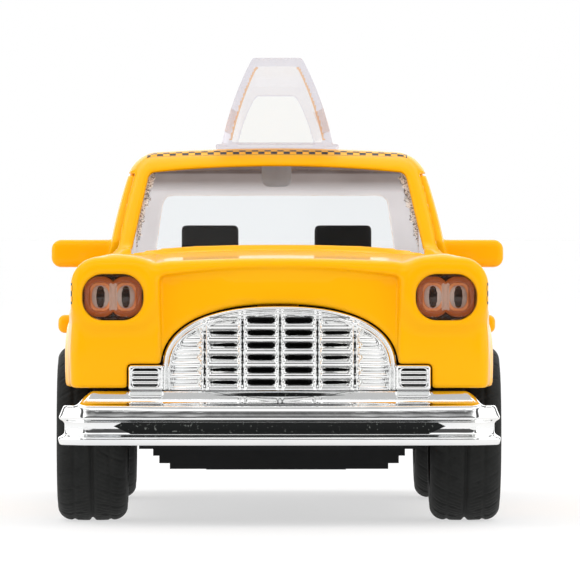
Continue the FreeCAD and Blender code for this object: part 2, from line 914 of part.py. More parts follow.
def bumper(name, way):
    """A wrap-round bumper with a groove along it; way is -1 at the front and 1 at the back."""
    end = "overall_length / 2"

    def outline(inset):
        return [
            (f"-bumper_half + {inset}", f"{way} * ({end} - 7.5)"),
            (f"-bumper_half + {inset}", f"{way} * ({end} - 3 - {inset} * 0.4)"),
            (f"-bumper_half + 3 + {inset} * 0.4", f"{way} * ({end} - 0.5 - {inset})"),
            ("-8", f"{way} * ({end} - {inset})"),
            ("8", f"{way} * ({end} - {inset})"),
            (f"bumper_half - 3 - {inset} * 0.4", f"{way} * ({end} - 0.5 - {inset})"),
            (f"bumper_half - {inset}", f"{way} * ({end} - 3 - {inset} * 0.4)"),
            (f"bumper_half - {inset}", f"{way} * ({end} - 7.5)"),
        ]

    height = "bumper_high - bumper_low"
    bar = prism(name + "_bar", "XY_Plane", outline("0"), height, start="bumper_low")
    back = prism(name + "_back", "XY_Plane", outline("bumper_depth"), "20", start="bumper_low - 5")
    groove_outer = prism(
        name + "_groove_outer", "XY_Plane", outline("-1"), "groove_high - groove_low", start="groove_low"
    )
    groove_inner = prism(
        name + "_groove_inner", "XY_Plane", outline("groove_depth"), "12", start="bumper_low - 2"
    )
    groove = cut(name + "_groove", groove_outer, [groove_inner])
    near = f"{way} * (overall_length / 2 - 1)"
    far = f"{way} * (body_end - 3.2)"
    shelf_top = "grille_low" if way < 0 else "rear_valance - 0.45"
    shelf = prism(
        name + "_shelf",
        "YZ_Plane",
        [
            (near, "bumper_high - 1"),
            (near, "bumper_high - 0.2"),
            (f"{way} * (body_end + 0.2)", shelf_top),
            (far, shelf_top),
            (far, "bumper_high - 1"),
        ],
        "2 * bumper_half - 8",
    )
    return joined(name + "_solid", [cut(name + "_hollow", bar, [back, groove]), shelf])


node("front_bumper", bumper("front_bumper", -1))
node("rear_bumper", bumper("rear_bumper", 1))


lamp_room = lower_volume("lamp_room", "wall + 0.08", "0")


def head_lamp(side_name, side):
    """A clear twin lens behind the pod's opening, and the chromed domes in it."""
    wall_back = "-body_end + wall + 0.5"
    discs = [
        rod(
            f"lens_{side_name}_{i}",
            "y",
            "2.35",
            (f"{side} * lamp_x + {offset}", wall_back, "lamp_z"),
            "1",
        )
        for i, offset in enumerate((-1.4, 1.4))
    ]
    plate = block(
        f"lens_plate_{side_name}",
        (f"{side} * lamp_x - 3.8", f"{wall_back} + 0.9", "lamp_z - 2.6"),
        (f"{side} * lamp_x + 3.8", f"{wall_back} + 1.5", "lamp_z + 2.6"),
    )
    domes = [
        rod(
            f"dome_{side_name}_{i}",
            "y",
            "1.2",
            (f"{side} * lamp_x + {offset}", f"{wall_back} + 1.5", "lamp_z"),
            "1.2",
        )
        for i, offset in enumerate((-1.4, 1.4))
    ]
    backing = block(
        f"dome_plate_{side_name}",
        (f"{side} * lamp_x - 3.8", f"{wall_back} + 2.4", "lamp_z - 2.6"),
        (f"{side} * lamp_x + 3.8", f"{wall_back} + 3.2", "lamp_z + 2.6"),
    )
    lens = joined(f"lens_blank_{side_name}", [*discs, plate])
    reflector = joined(f"dome_blank_{side_name}", [*domes, backing])
    node(f"headlight_lens_{side_name}", shared(f"lens_solid_{side_name}", [lens, lamp_room]))
    node(f"headlight_reflector_{side_name}", shared(f"dome_solid_{side_name}", [reflector, lamp_room]))


def tail_lamp(side_name, side):
    """A red lens that fills the recess in a rear corner."""
    return block(
        f"tail_block_{side_name}",
        (f"{side} * 18.9 - 2.8", "body_end - 2.6", "17.5"),
        (f"{side} * 18.9 + 2.8", "body_end + 0.5", "22.5"),
    )


for side_name, side in SIDES:
    head_lamp(side_name, side)
    node(f"tail_light_{side_name}", tail_lamp(side_name, side))


# ---- chassis ------------------------------------------------------------------------------------


def stepped_section(low):
    """The keel's cross-section above a height, as widths that grow in three steps."""
    steps = [
        ("keel_half", low, "keel_low + 0.65"),
        ("keel_half + 1.2", "keel_low + 0.65", "keel_low + 1.5"),
        ("keel_half + 1.9", "keel_low + 1.5", "floor_low - 0.2"),
        ("tunnel_half", "floor_low - 0.2", "floor_high"),
    ]
    if low != "keel_low":
        steps = [("keel_half + 1.2", low, "keel_low + 1.5")] + steps[2:]
    right = [point for half, foot, head in steps for point in ((half, foot), (half, head))]
    left = [(f"-({half})", height) for half, height in reversed(right)]
    return right + left


def chassis():
    """The black base: stepped keel, floor, axle tunnel, motor bay, and sockets for the screws."""
    keel = prism("keel", "XZ_Plane", stepped_section("keel_low"), "59.6", start="-9.6")
    rails = prism("rails", "XZ_Plane", stepped_section("keel_low + 0.65"), "36", start="-45.4")
    nose_plate = block(
        "chassis_nose", ("-tunnel_half", "-58.4", "floor_low"), ("tunnel_half", "-50", "floor_high")
    )
    tail_plate = block(
        "chassis_tail", ("-tunnel_half", "45", "floor_low"), ("tunnel_half", "58.4", "floor_high")
    )
    tongues = [
        block(f"tongue_{name}", ("-8", low, "floor_low"), ("8", high, "floor_high"))
        for name, low, high in (
            ("front", "-overall_length / 2 + bumper_depth", "-58"),
            ("rear", "58", "overall_length / 2 - bumper_depth"),
        )
    ]
    floor = block("chassis_floor", ("-floor_half", "-28.8", "floor_low"), ("floor_half", "21", "floor_high"))
    tunnel = block(
        "axle_tunnel",
        ("-tunnel_half", "front_axle_y - 3", "floor_low"),
        ("tunnel_half", "front_axle_y + 3", "13"),
    )
    seats = [
        rod(f"screw_seat_{name}", "z", "3", ("0", place, "floor_low"), "floor_high + 3 - floor_low")
        for name, place in (("front", FRONT_POST_Y), ("rear", REAR_POST_Y))
    ]
    ribs = [
        block(f"tub_rib_{name}", (low_x, "-18", "floor_high - 0.5"), (high_x, "6", "tub_floor - 1.2"))
        for name, low_x, high_x in (("left", "14", "15.4"), ("right", "-15.4", "-14"))
    ]
    plates = [keel, rails, nose_plate, tail_plate, *tongues, floor, tunnel]
    solid = joined("chassis_solid", [*plates, *seats, *ribs])
    bay = block(
        "motor_bay",
        ("-motor_half - 0.15", "motor_front_y - 0.15", "0"),
        ("motor_half + 0.15", "motor_back_y + 0.15", "30"),
    )
    axle_hole = rod(
        "front_axle_hole",
        "x",
        "axle_reach + running_clearance",
        ("-body_half", "front_axle_y", "axle_height"),
        "2 * body_half",
    )
    axle_slot = block(
        "rear_axle_slot",
        ("-body_half", f"{REAR_AXLE_Y} - 1.6", "axle_height - axle_reach - 0.1"),
        ("body_half", f"{REAR_AXLE_Y} + 1.6", "30"),
    )
    screws = []
    for name, place in (("front", FRONT_POST_Y), ("rear", REAR_POST_Y)):
        screws.append(rod(f"screw_way_{name}", "z", "1.2", ("0", place, "0"), "20"))
        screws.append(rod(f"screw_sink_{name}", "z", "2", ("0", place, "0"), "floor_low + 1.2"))
    for number, place in enumerate(MOTOR_LUGS_Y):
        screws.append(rod(f"lug_hole_{number}", "z", "0.7", ("0", place, "0"), "20"))
        screws.append(rod(f"lug_sink_{number}", "z", "1.5", ("0", place, "0"), "floor_low"))
    return cut("chassis_finished", solid, [bay, axle_hole, axle_slot, *screws])


MOTOR_LUGS_Y = ("motor_front_y - 2.2", "motor_back_y + 2.2")
node("chassis", chassis())


def screw(name, place, head_low, head, shank, length):
    """A pan-head screw that points up."""
    pan = rod(name + "_head", "z", head, place + (head_low,), "1")
    stem = rod(name + "_stem", "z", shank, place + (head_low,), length)
    slot_half = 0.2
    slot = block(
        name + "_slot",
        (f"{place[0]} - {head}", f"{place[1]} - {slot_half}", f"{head_low} - 1"),
        (f"{place[0]} + {head}", f"{place[1]} + {slot_half}", f"{head_low} + 0.4"),
    )
    return cut(name, joined(name + "_blank", [pan, stem]), [slot])


node(
    "chassis_screws",
    group(
        "chassis_screw_pair",
        [
            screw("front_screw", ("0", FRONT_POST_Y), "floor_low + 0.2", "1.8", "0.85", "9"),
            screw("rear_screw", ("0", REAR_POST_Y), "floor_low + 0.2", "1.8", "0.85", "9"),
        ],
    ),
)


# ---- wheels -------------------------------------------------------------------------------------


def tyre(name, place_y, side):
    """A rubber ring with rounded shoulders."""
    base = ("tyre_inner_x" if side > 0 else "-tyre_outer_x", place_y, "axle_height")
    ring = rod(name + "_blank", "x", "tyre_reach", base, "tyre_outer_x - tyre_inner_x")
    doc.recompute()
    rims = [
        number
        for number, edge in enumerate(ring.Shape.Edges, 1)
        if edge.Closed and abs(edge.BoundBox.XLength) < 1e-6
    ]
    rounded = doc.addObject("Part::Fillet", name + "_rounded")
    rounded.Base = ring
    rounded.Edges = [(number, size("tyre_fillet"), size("tyre_fillet")) for number in rims]
    hole = rod(name + "_hole", "x", "rim_reach", base, "tyre_outer_x - tyre_inner_x")
    return cut(name, rounded, [hole])


def hub(name, place_y, side):
    """A chromed wheel: dished rim, disc, five slots and a boss that is pressed on the axle."""
    base_x = "tyre_inner_x + 0.3" if side > 0 else "-tyre_outer_x + 0.3"
    width = "tyre_outer_x - tyre_inner_x - 0.6"
    rim = rod(name + "_rim", "x", "rim_reach", (base_x, place_y, "axle_height"), width)
    face = "tyre_outer_x - 1.7" if side > 0 else "-tyre_outer_x - 3"
    back = "tyre_inner_x - 3" if side > 0 else "-tyre_outer_x + 2.9"
    dish = rod(name + "_dish", "x", "rim_reach - 0.8", (face, place_y, "axle_height"), "4.7")
    well = rod(
        name + "_well",
        "x",
        "rim_reach - 0.8",
        (back, place_y, "axle_height"),
        "tyre_outer_x - tyre_inner_x + 0.1",
    )
    hollow = cut(name + "_hollow", rim, [dish, well])
    boss_x = base_x if side > 0 else "-tyre_outer_x + 0.9"
    boss = rod(name + "_boss", "x", "1.9", (boss_x, place_y, "axle_height"), f"{width} - 0.6")
    bore_start = ("-body_half - 5", place_y, "axle_height")
    bore = rod(name + "_bore", "x", "axle_reach", bore_start, "2 * body_half + 10")
    return cut(name, joined(name + "_solid", [hollow, boss]), [bore])


for end_name, place_y in (("front", "front_axle_y"), ("rear", REAR_AXLE_Y)):
    for side_name, side in SIDES:
        node(f"tyre_{end_name}_{side_name}", tyre(f"tyre_{end_name}_{side_name}_ring", place_y, side))
        node(f"hub_{end_name}_{side_name}", hub(f"hub_{end_name}_{side_name}_disc", place_y, side))
    node(
        f"{end_name}_axle",
        rod(f"{end_name}_axle_pin", "x", "axle_reach", ("-24.6", place_y, "axle_height"), "49.2"),
    )


# ---- friction motor -----------------------------------------------------------------------------


def involute(radius_base, reach):
    """A point of the involute at a distance reach from the centre, as (angle, distance)."""
    spread = math.sqrt(max((reach / radius_base) ** 2 - 1, 0.0))
    return spread - math.atan(spread), reach


def gear_shape(teeth, module, width, bore, first_tooth):
    """A spur gear about +X with a tooth at the angle first_tooth, measured from +Y towards +Z."""
    pitch = module * teeth / 2
    base = pitch * math.cos(PRESSURE_ANGLE)
    tip = pitch + module - TIP_SHORTENING
    root = pitch - 1.25 * module
    pitch_angle = involute(base, pitch)[0]
    half_tooth = math.pi / (2 * teeth) - BACKLASH / (4 * pitch)
    start = max(base, root)
    flank_steps = 5

    def place(angle, reach):
        return FreeCAD.Vector(0, reach * math.cos(angle), reach * math.sin(angle))

    edges = []
    ends = []
    for number in range(teeth):
        centre = first_tooth + 2 * math.pi * number / teeth
        rising, falling = [], []
        for step in range(flank_steps + 1):
            reach = start + (tip - start) * step / flank_steps
            lean = half_tooth + pitch_angle - involute(base, reach)[0]
            rising.append(place(centre - lean, reach))
            falling.append(place(centre + lean, reach))
        falling.reverse()
        foot = half_tooth + pitch_angle
        root_in, root_out = place(centre - foot, root), place(centre + foot, root)
        if ends:
            edges.append(Part.makeLine(ends[-1], root_in))
        for flank in (rising, falling):
            curve = Part.BSplineCurve()
            curve.interpolate(flank)
            if flank is rising:
                edges.append(Part.makeLine(root_in, rising[0]))
            edges.append(curve.toShape())
            if flank is rising:
                edges.append(Part.makeLine(rising[-1], falling[0]))
        edges.append(Part.makeLine(falling[-1], root_out))
        ends.append(root_out)
        if number == 0:
            opening = root_in
    edges.append(Part.makeLine(ends[-1], opening))
    blank = Part.Face(Part.Wire(edges)).extrude(FreeCAD.Vector(width, 0, 0))
    hole = Part.makeCylinder(bore, width, FreeCAD.Vector(), FreeCAD.Vector(1, 0, 0))
    return blank.cut(hole)


def gear(name, teeth, module, span, bore, centre, first_tooth):
    """A gear feature placed at its centre in the side view; span is its start and width along X."""
    start_x, width = span
    feature = doc.addObject("Part::Feature", name)
    feature.Shape = gear_shape(teeth, module, width, bore, first_tooth)
    feature.Placement = FreeCAD.Placement(FreeCAD.Vector(start_x, *centre), FreeCAD.Rotation())
    return feature


def centre_after(centre, distance, direction):
    """A point at a distance and direction, in the side view, from another one."""
    return centre[0] + distance * math.cos(direction), centre[1] + distance * math.sin(direction)


AXLE_MODULE = size("gear_module")
DRIVE_MODULE = size("drive_module")
AXLE_CENTRE = (size("front_axle_y") + size("wheelbase"), size("axle_height"))
IDLER_WAY = math.pi - math.radians(size("idler_lean"))
IDLER_CENTRE = centre_after(AXLE_CENTRE, AXLE_MODULE * (AXLE_TEETH + PINION_TEETH) / 2, IDLER_WAY)
FLYWHEEL_WAY = math.pi - math.radians(size("flywheel_lean"))
FLYWHEEL_CENTRE = centre_after(IDLER_CENTRE, DRIVE_MODULE * (IDLER_TEETH + PINION_TEETH) / 2, FLYWHEEL_WAY)

# Where each gear starts along X, and its width.
AXLE_GEAR_SPAN = (3.2, 3.0)
IDLER_SMALL_SPAN = (3.0, 3.4)
IDLER_LARGE_SPAN = (0.9, 2.1)
FLYWHEEL_PINION_SPAN = (0.7, 2.5)


def friction_motor():
    """Gears, spindles and flywheel, all about axes parallel to the rear axle."""
    fixed_bore = size("spindle_reach")
    free_bore = fixed_bore + size("running_clearance")
    node(
        "axle_gear",
        gear(
            "axle_gear_wheel",
            AXLE_TEETH,
            AXLE_MODULE,
            AXLE_GEAR_SPAN,
            size("axle_reach"),
            AXLE_CENTRE,
            IDLER_WAY,
        ),
    )
    half_pitch = math.pi / PINION_TEETH
    small = gear(
        "idler_small",
        PINION_TEETH,
        AXLE_MODULE,
        IDLER_SMALL_SPAN,
        free_bore,
        IDLER_CENTRE,
        IDLER_WAY + math.pi + half_pitch,
    )
    large = gear(
        "idler_large", IDLER_TEETH, DRIVE_MODULE, IDLER_LARGE_SPAN, free_bore, IDLER_CENTRE, FLYWHEEL_WAY
    )
    node("idler_gear", joined("idler_solid", [small, large]))
    node(
        "flywheel_pinion",
        gear(
            "flywheel_pinion_wheel",
            PINION_TEETH,
            DRIVE_MODULE,
            FLYWHEEL_PINION_SPAN,
            fixed_bore,
            FLYWHEEL_CENTRE,
            FLYWHEEL_WAY + math.pi + half_pitch,
        ),
    )


friction_motor()


def at(centre):
    """A side-view point as two expressions."""
    return f"{centre[0]:.6f}", f"{centre[1]:.6f}"


def motor_spindle(name, radius, centre):
    """A steel spindle across the housing."""
    return rod(name, "x", radius, ("-motor_half + 0.1", *at(centre)), "2 * motor_half - 0.2")


node("idler_spindle", motor_spindle("idler_spindle_pin", "spindle_reach", IDLER_CENTRE))
node("flywheel_spindle", motor_spindle("flywheel_spindle_pin", "spindle_reach", FLYWHEEL_CENTRE))


def flywheel():
    """A zinc disc with a thick rim, pressed on its spindle."""
    disc = rod("flywheel_disc", "x", "flywheel_reach", ("-6.2", *at(FLYWHEEL_CENTRE)), "5")
    dish = rod("flywheel_dish", "x", "flywheel_reach - 1.9", ("-7", *at(FLYWHEEL_CENTRE)), "2.4")
    hub_boss = rod("flywheel_boss", "x", "2", ("-6.2", *at(FLYWHEEL_CENTRE)), "3")
    bore = rod("flywheel_bore", "x", "spindle_reach", ("-9", *at(FLYWHEEL_CENTRE)), "18")
    dished = cut("flywheel_dished", disc, [dish])
    return cut("flywheel_solid", joined("flywheel_blank", [dished, hub_boss]), [bore])


node("flywheel", flywheel())


def motor_housing(side_name, side):
    """Half of the motor's box, with bearings for the axle and spindles and a fixing lug at each end."""
    low_x, high_x = ("0", "motor_half") if side > 0 else ("-motor_half", "0")
    box = block(
        f"housing_box_{side_name}",
        (low_x, "motor_front_y", "motor_low"),
        (high_x, "motor_back_y", "motor_high"),
    )
    room_low, room_high = ("-1", "motor_half - motor_wall") if side > 0 else ("-motor_half + motor_wall", "1")
    room = block(
        f"housing_room_{side_name}",
        (room_low, "motor_front_y + motor_wall", "motor_low + motor_floor"),
        (room_high, "motor_back_y - motor_wall", "motor_high - motor_wall"),
    )
    reach = "-20"
    holes = [
        rod(
            f"housing_axle_{side_name}",
            "x",
            "axle_reach + running_clearance",
            (reach, REAR_AXLE_Y, "axle_height"),
            "40",
        ),
        rod(f"housing_idler_{side_name}", "x", "spindle_reach", (reach, *at(IDLER_CENTRE)), "40"),
        rod(
            f"housing_flywheel_{side_name}",
            "x",
            "spindle_reach + running_clearance",
            (reach, *at(FLYWHEEL_CENTRE)),
            "40",
        ),
    ]
    lug_y = MOTOR_LUGS_Y[0] if side > 0 else MOTOR_LUGS_Y[1]
    lug_low, lug_high = (
        (f"{lug_y} - 1.6", "motor_front_y") if side > 0 else ("motor_back_y", f"{lug_y} + 1.6")
    )
    lug = block(
        f"housing_lug_{side_name}", ("-3", lug_low, "floor_high"), ("3", lug_high, "floor_high + 1.4")
    )
    lug_root_low, lug_root_high = ("0", "3") if side > 0 else ("-3", "0")
    root_y = ("motor_front_y - 0.4", "motor_front_y") if side > 0 else ("motor_back_y", "motor_back_y + 0.4")
    root = block(
        f"housing_root_{side_name}",
        (lug_root_low, root_y[0], "floor_high"),
        (lug_root_high, root_y[1], "floor_high + 4"),
    )
    lug_hole = rod(f"housing_lug_hole_{side_name}", "z", "0.7", ("0", lug_y, "0"), "30")
    shell = cut(f"housing_shell_{side_name}", box, [room, *holes])
    return cut(f"housing_{side_name}", joined(f"housing_solid_{side_name}", [shell, lug, root]), [lug_hole])


for side_name, side in SIDES:
    node(f"motor_housing_{side_name}", motor_housing(side_name, side))

node(
    "motor_screws",
    group(
        "motor_screw_pair",
        [
            screw(f"lug_screw_{i}", ("0", place), "floor_low - 1", "1.3", "0.7", "3.6")
            for i, place in enumerate(MOTOR_LUGS_Y)
        ],
    ),
)


# ---- check and write ----------------------------------------------------------------------------


def write_parts():
    """Stops on any failed feature or bad shape, then writes one STEP file per sub-part."""
    doc.recompute()
    failed = [o.Name for o in doc.Objects if set(o.State) & {"Invalid", "Error"}]
    if failed:
        raise RuntimeError(f"these features failed: {failed}")
    for label, feature in made.items():
        shape = feature.Shape
        if shape.isNull() or not shape.isValid() or not shape.Solids:
            raise RuntimeError(f"{label} has no valid solid")
    os.makedirs("parts", exist_ok=True)
    for old in os.listdir("parts"):
        os.remove(os.path.join("parts", old))
    for label, feature in made.items():
        feature.Shape.exportStep(os.path.join("parts", label + ".step"))
        box = feature.Shape.BoundBox
        print(
            f"{label:28s} solids {len(feature.Shape.Solids)}  volume {feature.Shape.Volume:9.1f}  "
            f"x {box.XMin:7.2f}..{box.XMax:6.2f}  y {box.YMin:7.2f}..{box.YMax:6.2f}  "
            f"z {box.ZMin:6.2f}..{box.ZMax:6.2f}"
        )


write_parts()
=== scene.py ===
"""Looks of the friction toy taxi: visible pieces are smooth implicit surfaces round the CAD frame.

Shapes are written in millimetres in the row's frame (the car faces -Y, its left side is +X) and turned into
metres when each mesh is made. A field is negative inside the piece and grows with distance from it.
"""

import functools
import math

import bpy
import numpy as np
import openvdb
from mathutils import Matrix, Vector


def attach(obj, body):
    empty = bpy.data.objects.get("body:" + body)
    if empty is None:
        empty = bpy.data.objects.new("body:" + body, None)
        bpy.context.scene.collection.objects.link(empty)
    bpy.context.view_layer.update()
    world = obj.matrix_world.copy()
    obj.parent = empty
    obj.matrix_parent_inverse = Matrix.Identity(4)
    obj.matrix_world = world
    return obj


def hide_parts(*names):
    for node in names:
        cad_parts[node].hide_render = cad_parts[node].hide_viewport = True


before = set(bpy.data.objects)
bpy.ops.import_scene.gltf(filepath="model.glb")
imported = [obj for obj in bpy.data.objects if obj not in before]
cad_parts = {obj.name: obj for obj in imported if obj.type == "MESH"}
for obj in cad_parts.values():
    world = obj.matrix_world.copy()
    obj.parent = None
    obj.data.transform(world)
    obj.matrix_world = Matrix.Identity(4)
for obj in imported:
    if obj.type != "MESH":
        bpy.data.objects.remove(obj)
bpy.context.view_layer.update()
MM = 0.001
scene = bpy.context.scene

# ---- field tools ----


def over(a):
    """How far above 0, or 0."""
    return np.maximum(a, 0)


def ramp(low, high, t):
    """A smooth rise from 0 at low to 1 at high."""
    u = np.clip((t - low) / (high - low), 0, 1)
    return u * u * (3 - 2 * u)


def both(a, b, r=0.0):
    """Where two fields meet, with the outside edge rounded to r."""
    if r <= 0:
        return np.maximum(a, b)
    outside = np.sqrt(over(a + r) ** 2 + over(b + r) ** 2)
    return np.minimum(-r, np.maximum(a, b)) + outside


def either(a, b, r=0.0):
    """Two fields joined, with the inside corner filled to r."""
    if r <= 0:
        return np.minimum(a, b)
    inside = np.sqrt(over(r - a) ** 2 + over(r - b) ** 2)
    return np.maximum(r, np.minimum(a, b)) - inside


def less(a, b, r=0.0):
    """The first field with the second taken away, its edges rounded to r."""
    return both(a, -b, r)


def inset(points, r):
    """A convex outline moved inwards by r."""
    points = [np.array(p, float) for p in points]
    count = len(points)
    following = points[1:] + points[:1]
    area = sum(a[0] * b[1] - b[0] * a[1] for a, b in zip(points, following))
    lines = []
    for i in range(count):
        along = following[i] - points[i]
        normal = np.array([-along[1], along[0]]) / np.hypot(*along) * (1 if area > 0 else -1)
        lines.append((normal, normal @ points[i] + r))
    result = []
    for i in range(count):
        (n0, c0), (n1, c1) = lines[i - 1], lines[i]
        result.append(np.linalg.solve(np.array([n0, n1]), np.array([c0, c1])))
    return result


def outline(u, v, points, r=0.0):
    """Signed distance from (u, v) to an outline whose corners are rounded to r."""
    if r > 0:
        points = inset(points, r)
    count = len(points)
    nearest = np.full(np.broadcast(u, v).shape, 1e12, np.float32)
    crossings = np.zeros(nearest.shape, bool)
    for i in range(count):
        (ax, ay), (bx, by) = points[i], points[(i + 1) % count]
        ex, ey = bx - ax, by - ay
        t = np.clip(((u - ax) * ex + (v - ay) * ey) / (ex * ex + ey * ey), 0, 1)
        nearest = np.minimum(nearest, (u - ax - t * ex) ** 2 + (v - ay - t * ey) ** 2)
        if ey != 0:
            crossings ^= ((ay > v) != (by > v)) & (u < ex * (v - ay) / ey + ax)
    return np.where(crossings, -1, 1) * np.sqrt(nearest) - r


def slab(u, v, centre, half, r):
    """A rounded rectangle in two coordinates."""
    du = abs(u - centre[0]) - (half[0] - r)
    dv = abs(v - centre[1]) - (half[1] - r)
    return np.sqrt(over(du) ** 2 + over(dv) ** 2) + np.minimum(np.maximum(du, dv), 0) - r


def brick(x, y, z, low, high, r=0.0):
    """A rounded box between two corners."""
    parts = []
    for u, lo, hi in ((x, low[0], high[0]), (y, low[1], high[1]), (z, low[2], high[2])):
        parts.append(abs(u - (lo + hi) / 2) - ((hi - lo) / 2 - r))
    a, b, c = parts
    outside = np.sqrt(over(a) ** 2 + over(b) ** 2 + over(c) ** 2)
    return outside + np.minimum(np.maximum(a, np.maximum(b, c)), 0) - r


def disc(u, v, centre, r):
    """A round bar in two coordinates."""
    return np.sqrt((u - centre[0]) ** 2 + (v - centre[1]) ** 2) - r


def span(u, low, high):
    """The room between two planes."""
    return abs(u - (low + high) / 2) - (high - low) / 2


def bump(u, centre, width):
    """A bell of height 1."""
    return np.exp(-(((u - centre) / width) ** 2))


def merge(*fields):
    """Several fields joined, with sharp inside corners."""
    return functools.reduce(np.minimum, fields)


# ---- from field to mesh ----


def sample(values, places):
    """Values between grid points, by straight-line blending."""
    base = np.clip(np.floor(places).astype(int), 0, np.array(values.shape[:3]) - 2)
    part = (places - base).astype(np.float32)
    total = 0
    for corner in range(8):
        step = np.array([corner >> 2 & 1, corner >> 1 & 1, corner & 1])
        share = np.prod(np.where(step, part, 1 - part), axis=1)
        at = base + step
        found = values[at[:, 0], at[:, 1], at[:, 2]]
        total = total + (found.T * share).T
    return total


BAND = 4  # grid steps of field kept on each side of the surface
SETTLE, SETTLE_REACH = 2, 0.4  # rounds that pull points onto the surface, and their furthest pull


def skin(name, field, low, high, step, mirrored=False, thin=0.0):
    """Meshes a field over a box, with normals from the field itself.

    mirrored works out only the half with x >= 0. thin is how far flat areas may be coarsened.
    """
    if mirrored:
        low = (0.0, low[1], low[2])
    counts = [int(math.ceil((h - l) / step)) + 3 for l, h in zip(low, high)]
    start = [0.0 if mirrored and i == 0 else l - step for i, l in enumerate(low)]
    ticks = [np.float32(step) * np.arange(n, dtype=np.float32) for n in counts]
    x, y, z = np.ix_(*[np.float32(s) + tick for s, tick in zip(start, ticks)])
    values = np.array(np.broadcast_to(field(x, y, z), counts), dtype=np.float32)
    if mirrored:
        values = np.concatenate([values[:0:-1], values])
        start[0] = -step * (counts[0] - 1)
    values = np.clip(values, -BAND * step, BAND * step)
    grid = openvdb.FloatGrid(BAND * step)
    grid.copyFromArray(values)
    if thin > 0:
        points, tris, quads = grid.convertToPolygons(isovalue=0.0, adaptivity=thin)
    else:
        points, quads = grid.convertToQuads(isovalue=0.0)
        tris = np.zeros((0, 3), np.uint32)
    slopes = np.stack(np.gradient(values), axis=-1)
    places = points.astype(np.float32)
    for _ in range(SETTLE):
        normal = sample(slopes, places)
        length = np.linalg.norm(normal, axis=1, keepdims=True) + 1e-9
        off = sample(values[..., None], places) / length
        places = places - np.clip(off, -SETTLE_REACH, SETTLE_REACH) * normal / length
    normal = sample(slopes, places)
    normal = normal / (np.linalg.norm(normal, axis=1, keepdims=True) + 1e-9)
    points = (places * step + np.array(start, np.float32)) * MM
    return mesh_of(name, points, tris, quads, normal)


def mesh_of(name, points, tris, quads, normal):
    """A linked object from numpy arrays."""
    mesh = bpy.data.meshes.new(name)
    mesh.vertices.add(len(points))
    mesh.vertices.foreach_set("co", points.astype(np.float32).ravel())
    corners = np.concatenate([tris.ravel(), quads.ravel()]).astype(np.int32)
    mesh.loops.add(len(corners))
    mesh.loops.foreach_set("vertex_index", corners)
    mesh.polygons.add(len(tris) + len(quads))
    starts = np.concatenate([np.arange(len(tris)) * 3, len(tris) * 3 + np.arange(len(quads)) * 4])
    mesh.polygons.foreach_set("loop_start", starts.astype(np.int32))
    mesh.polygons.foreach_set("use_smooth", np.ones(len(starts), bool))
    mesh.update(calc_edges=True)
    mesh.validate()
    mesh.normals_split_custom_set_from_vertices(normal.tolist())
    made = bpy.data.objects.new(name, mesh)
    scene.collection.objects.link(made)
    return made


def place(piece, material, node, body="car"):
    """Gives a piece its material and body, and hides the CAD node that it stands for."""
    if not piece.data.materials:
        piece.data.materials.append(material)
    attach(piece, body)
    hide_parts(node)


# ---- materials ----


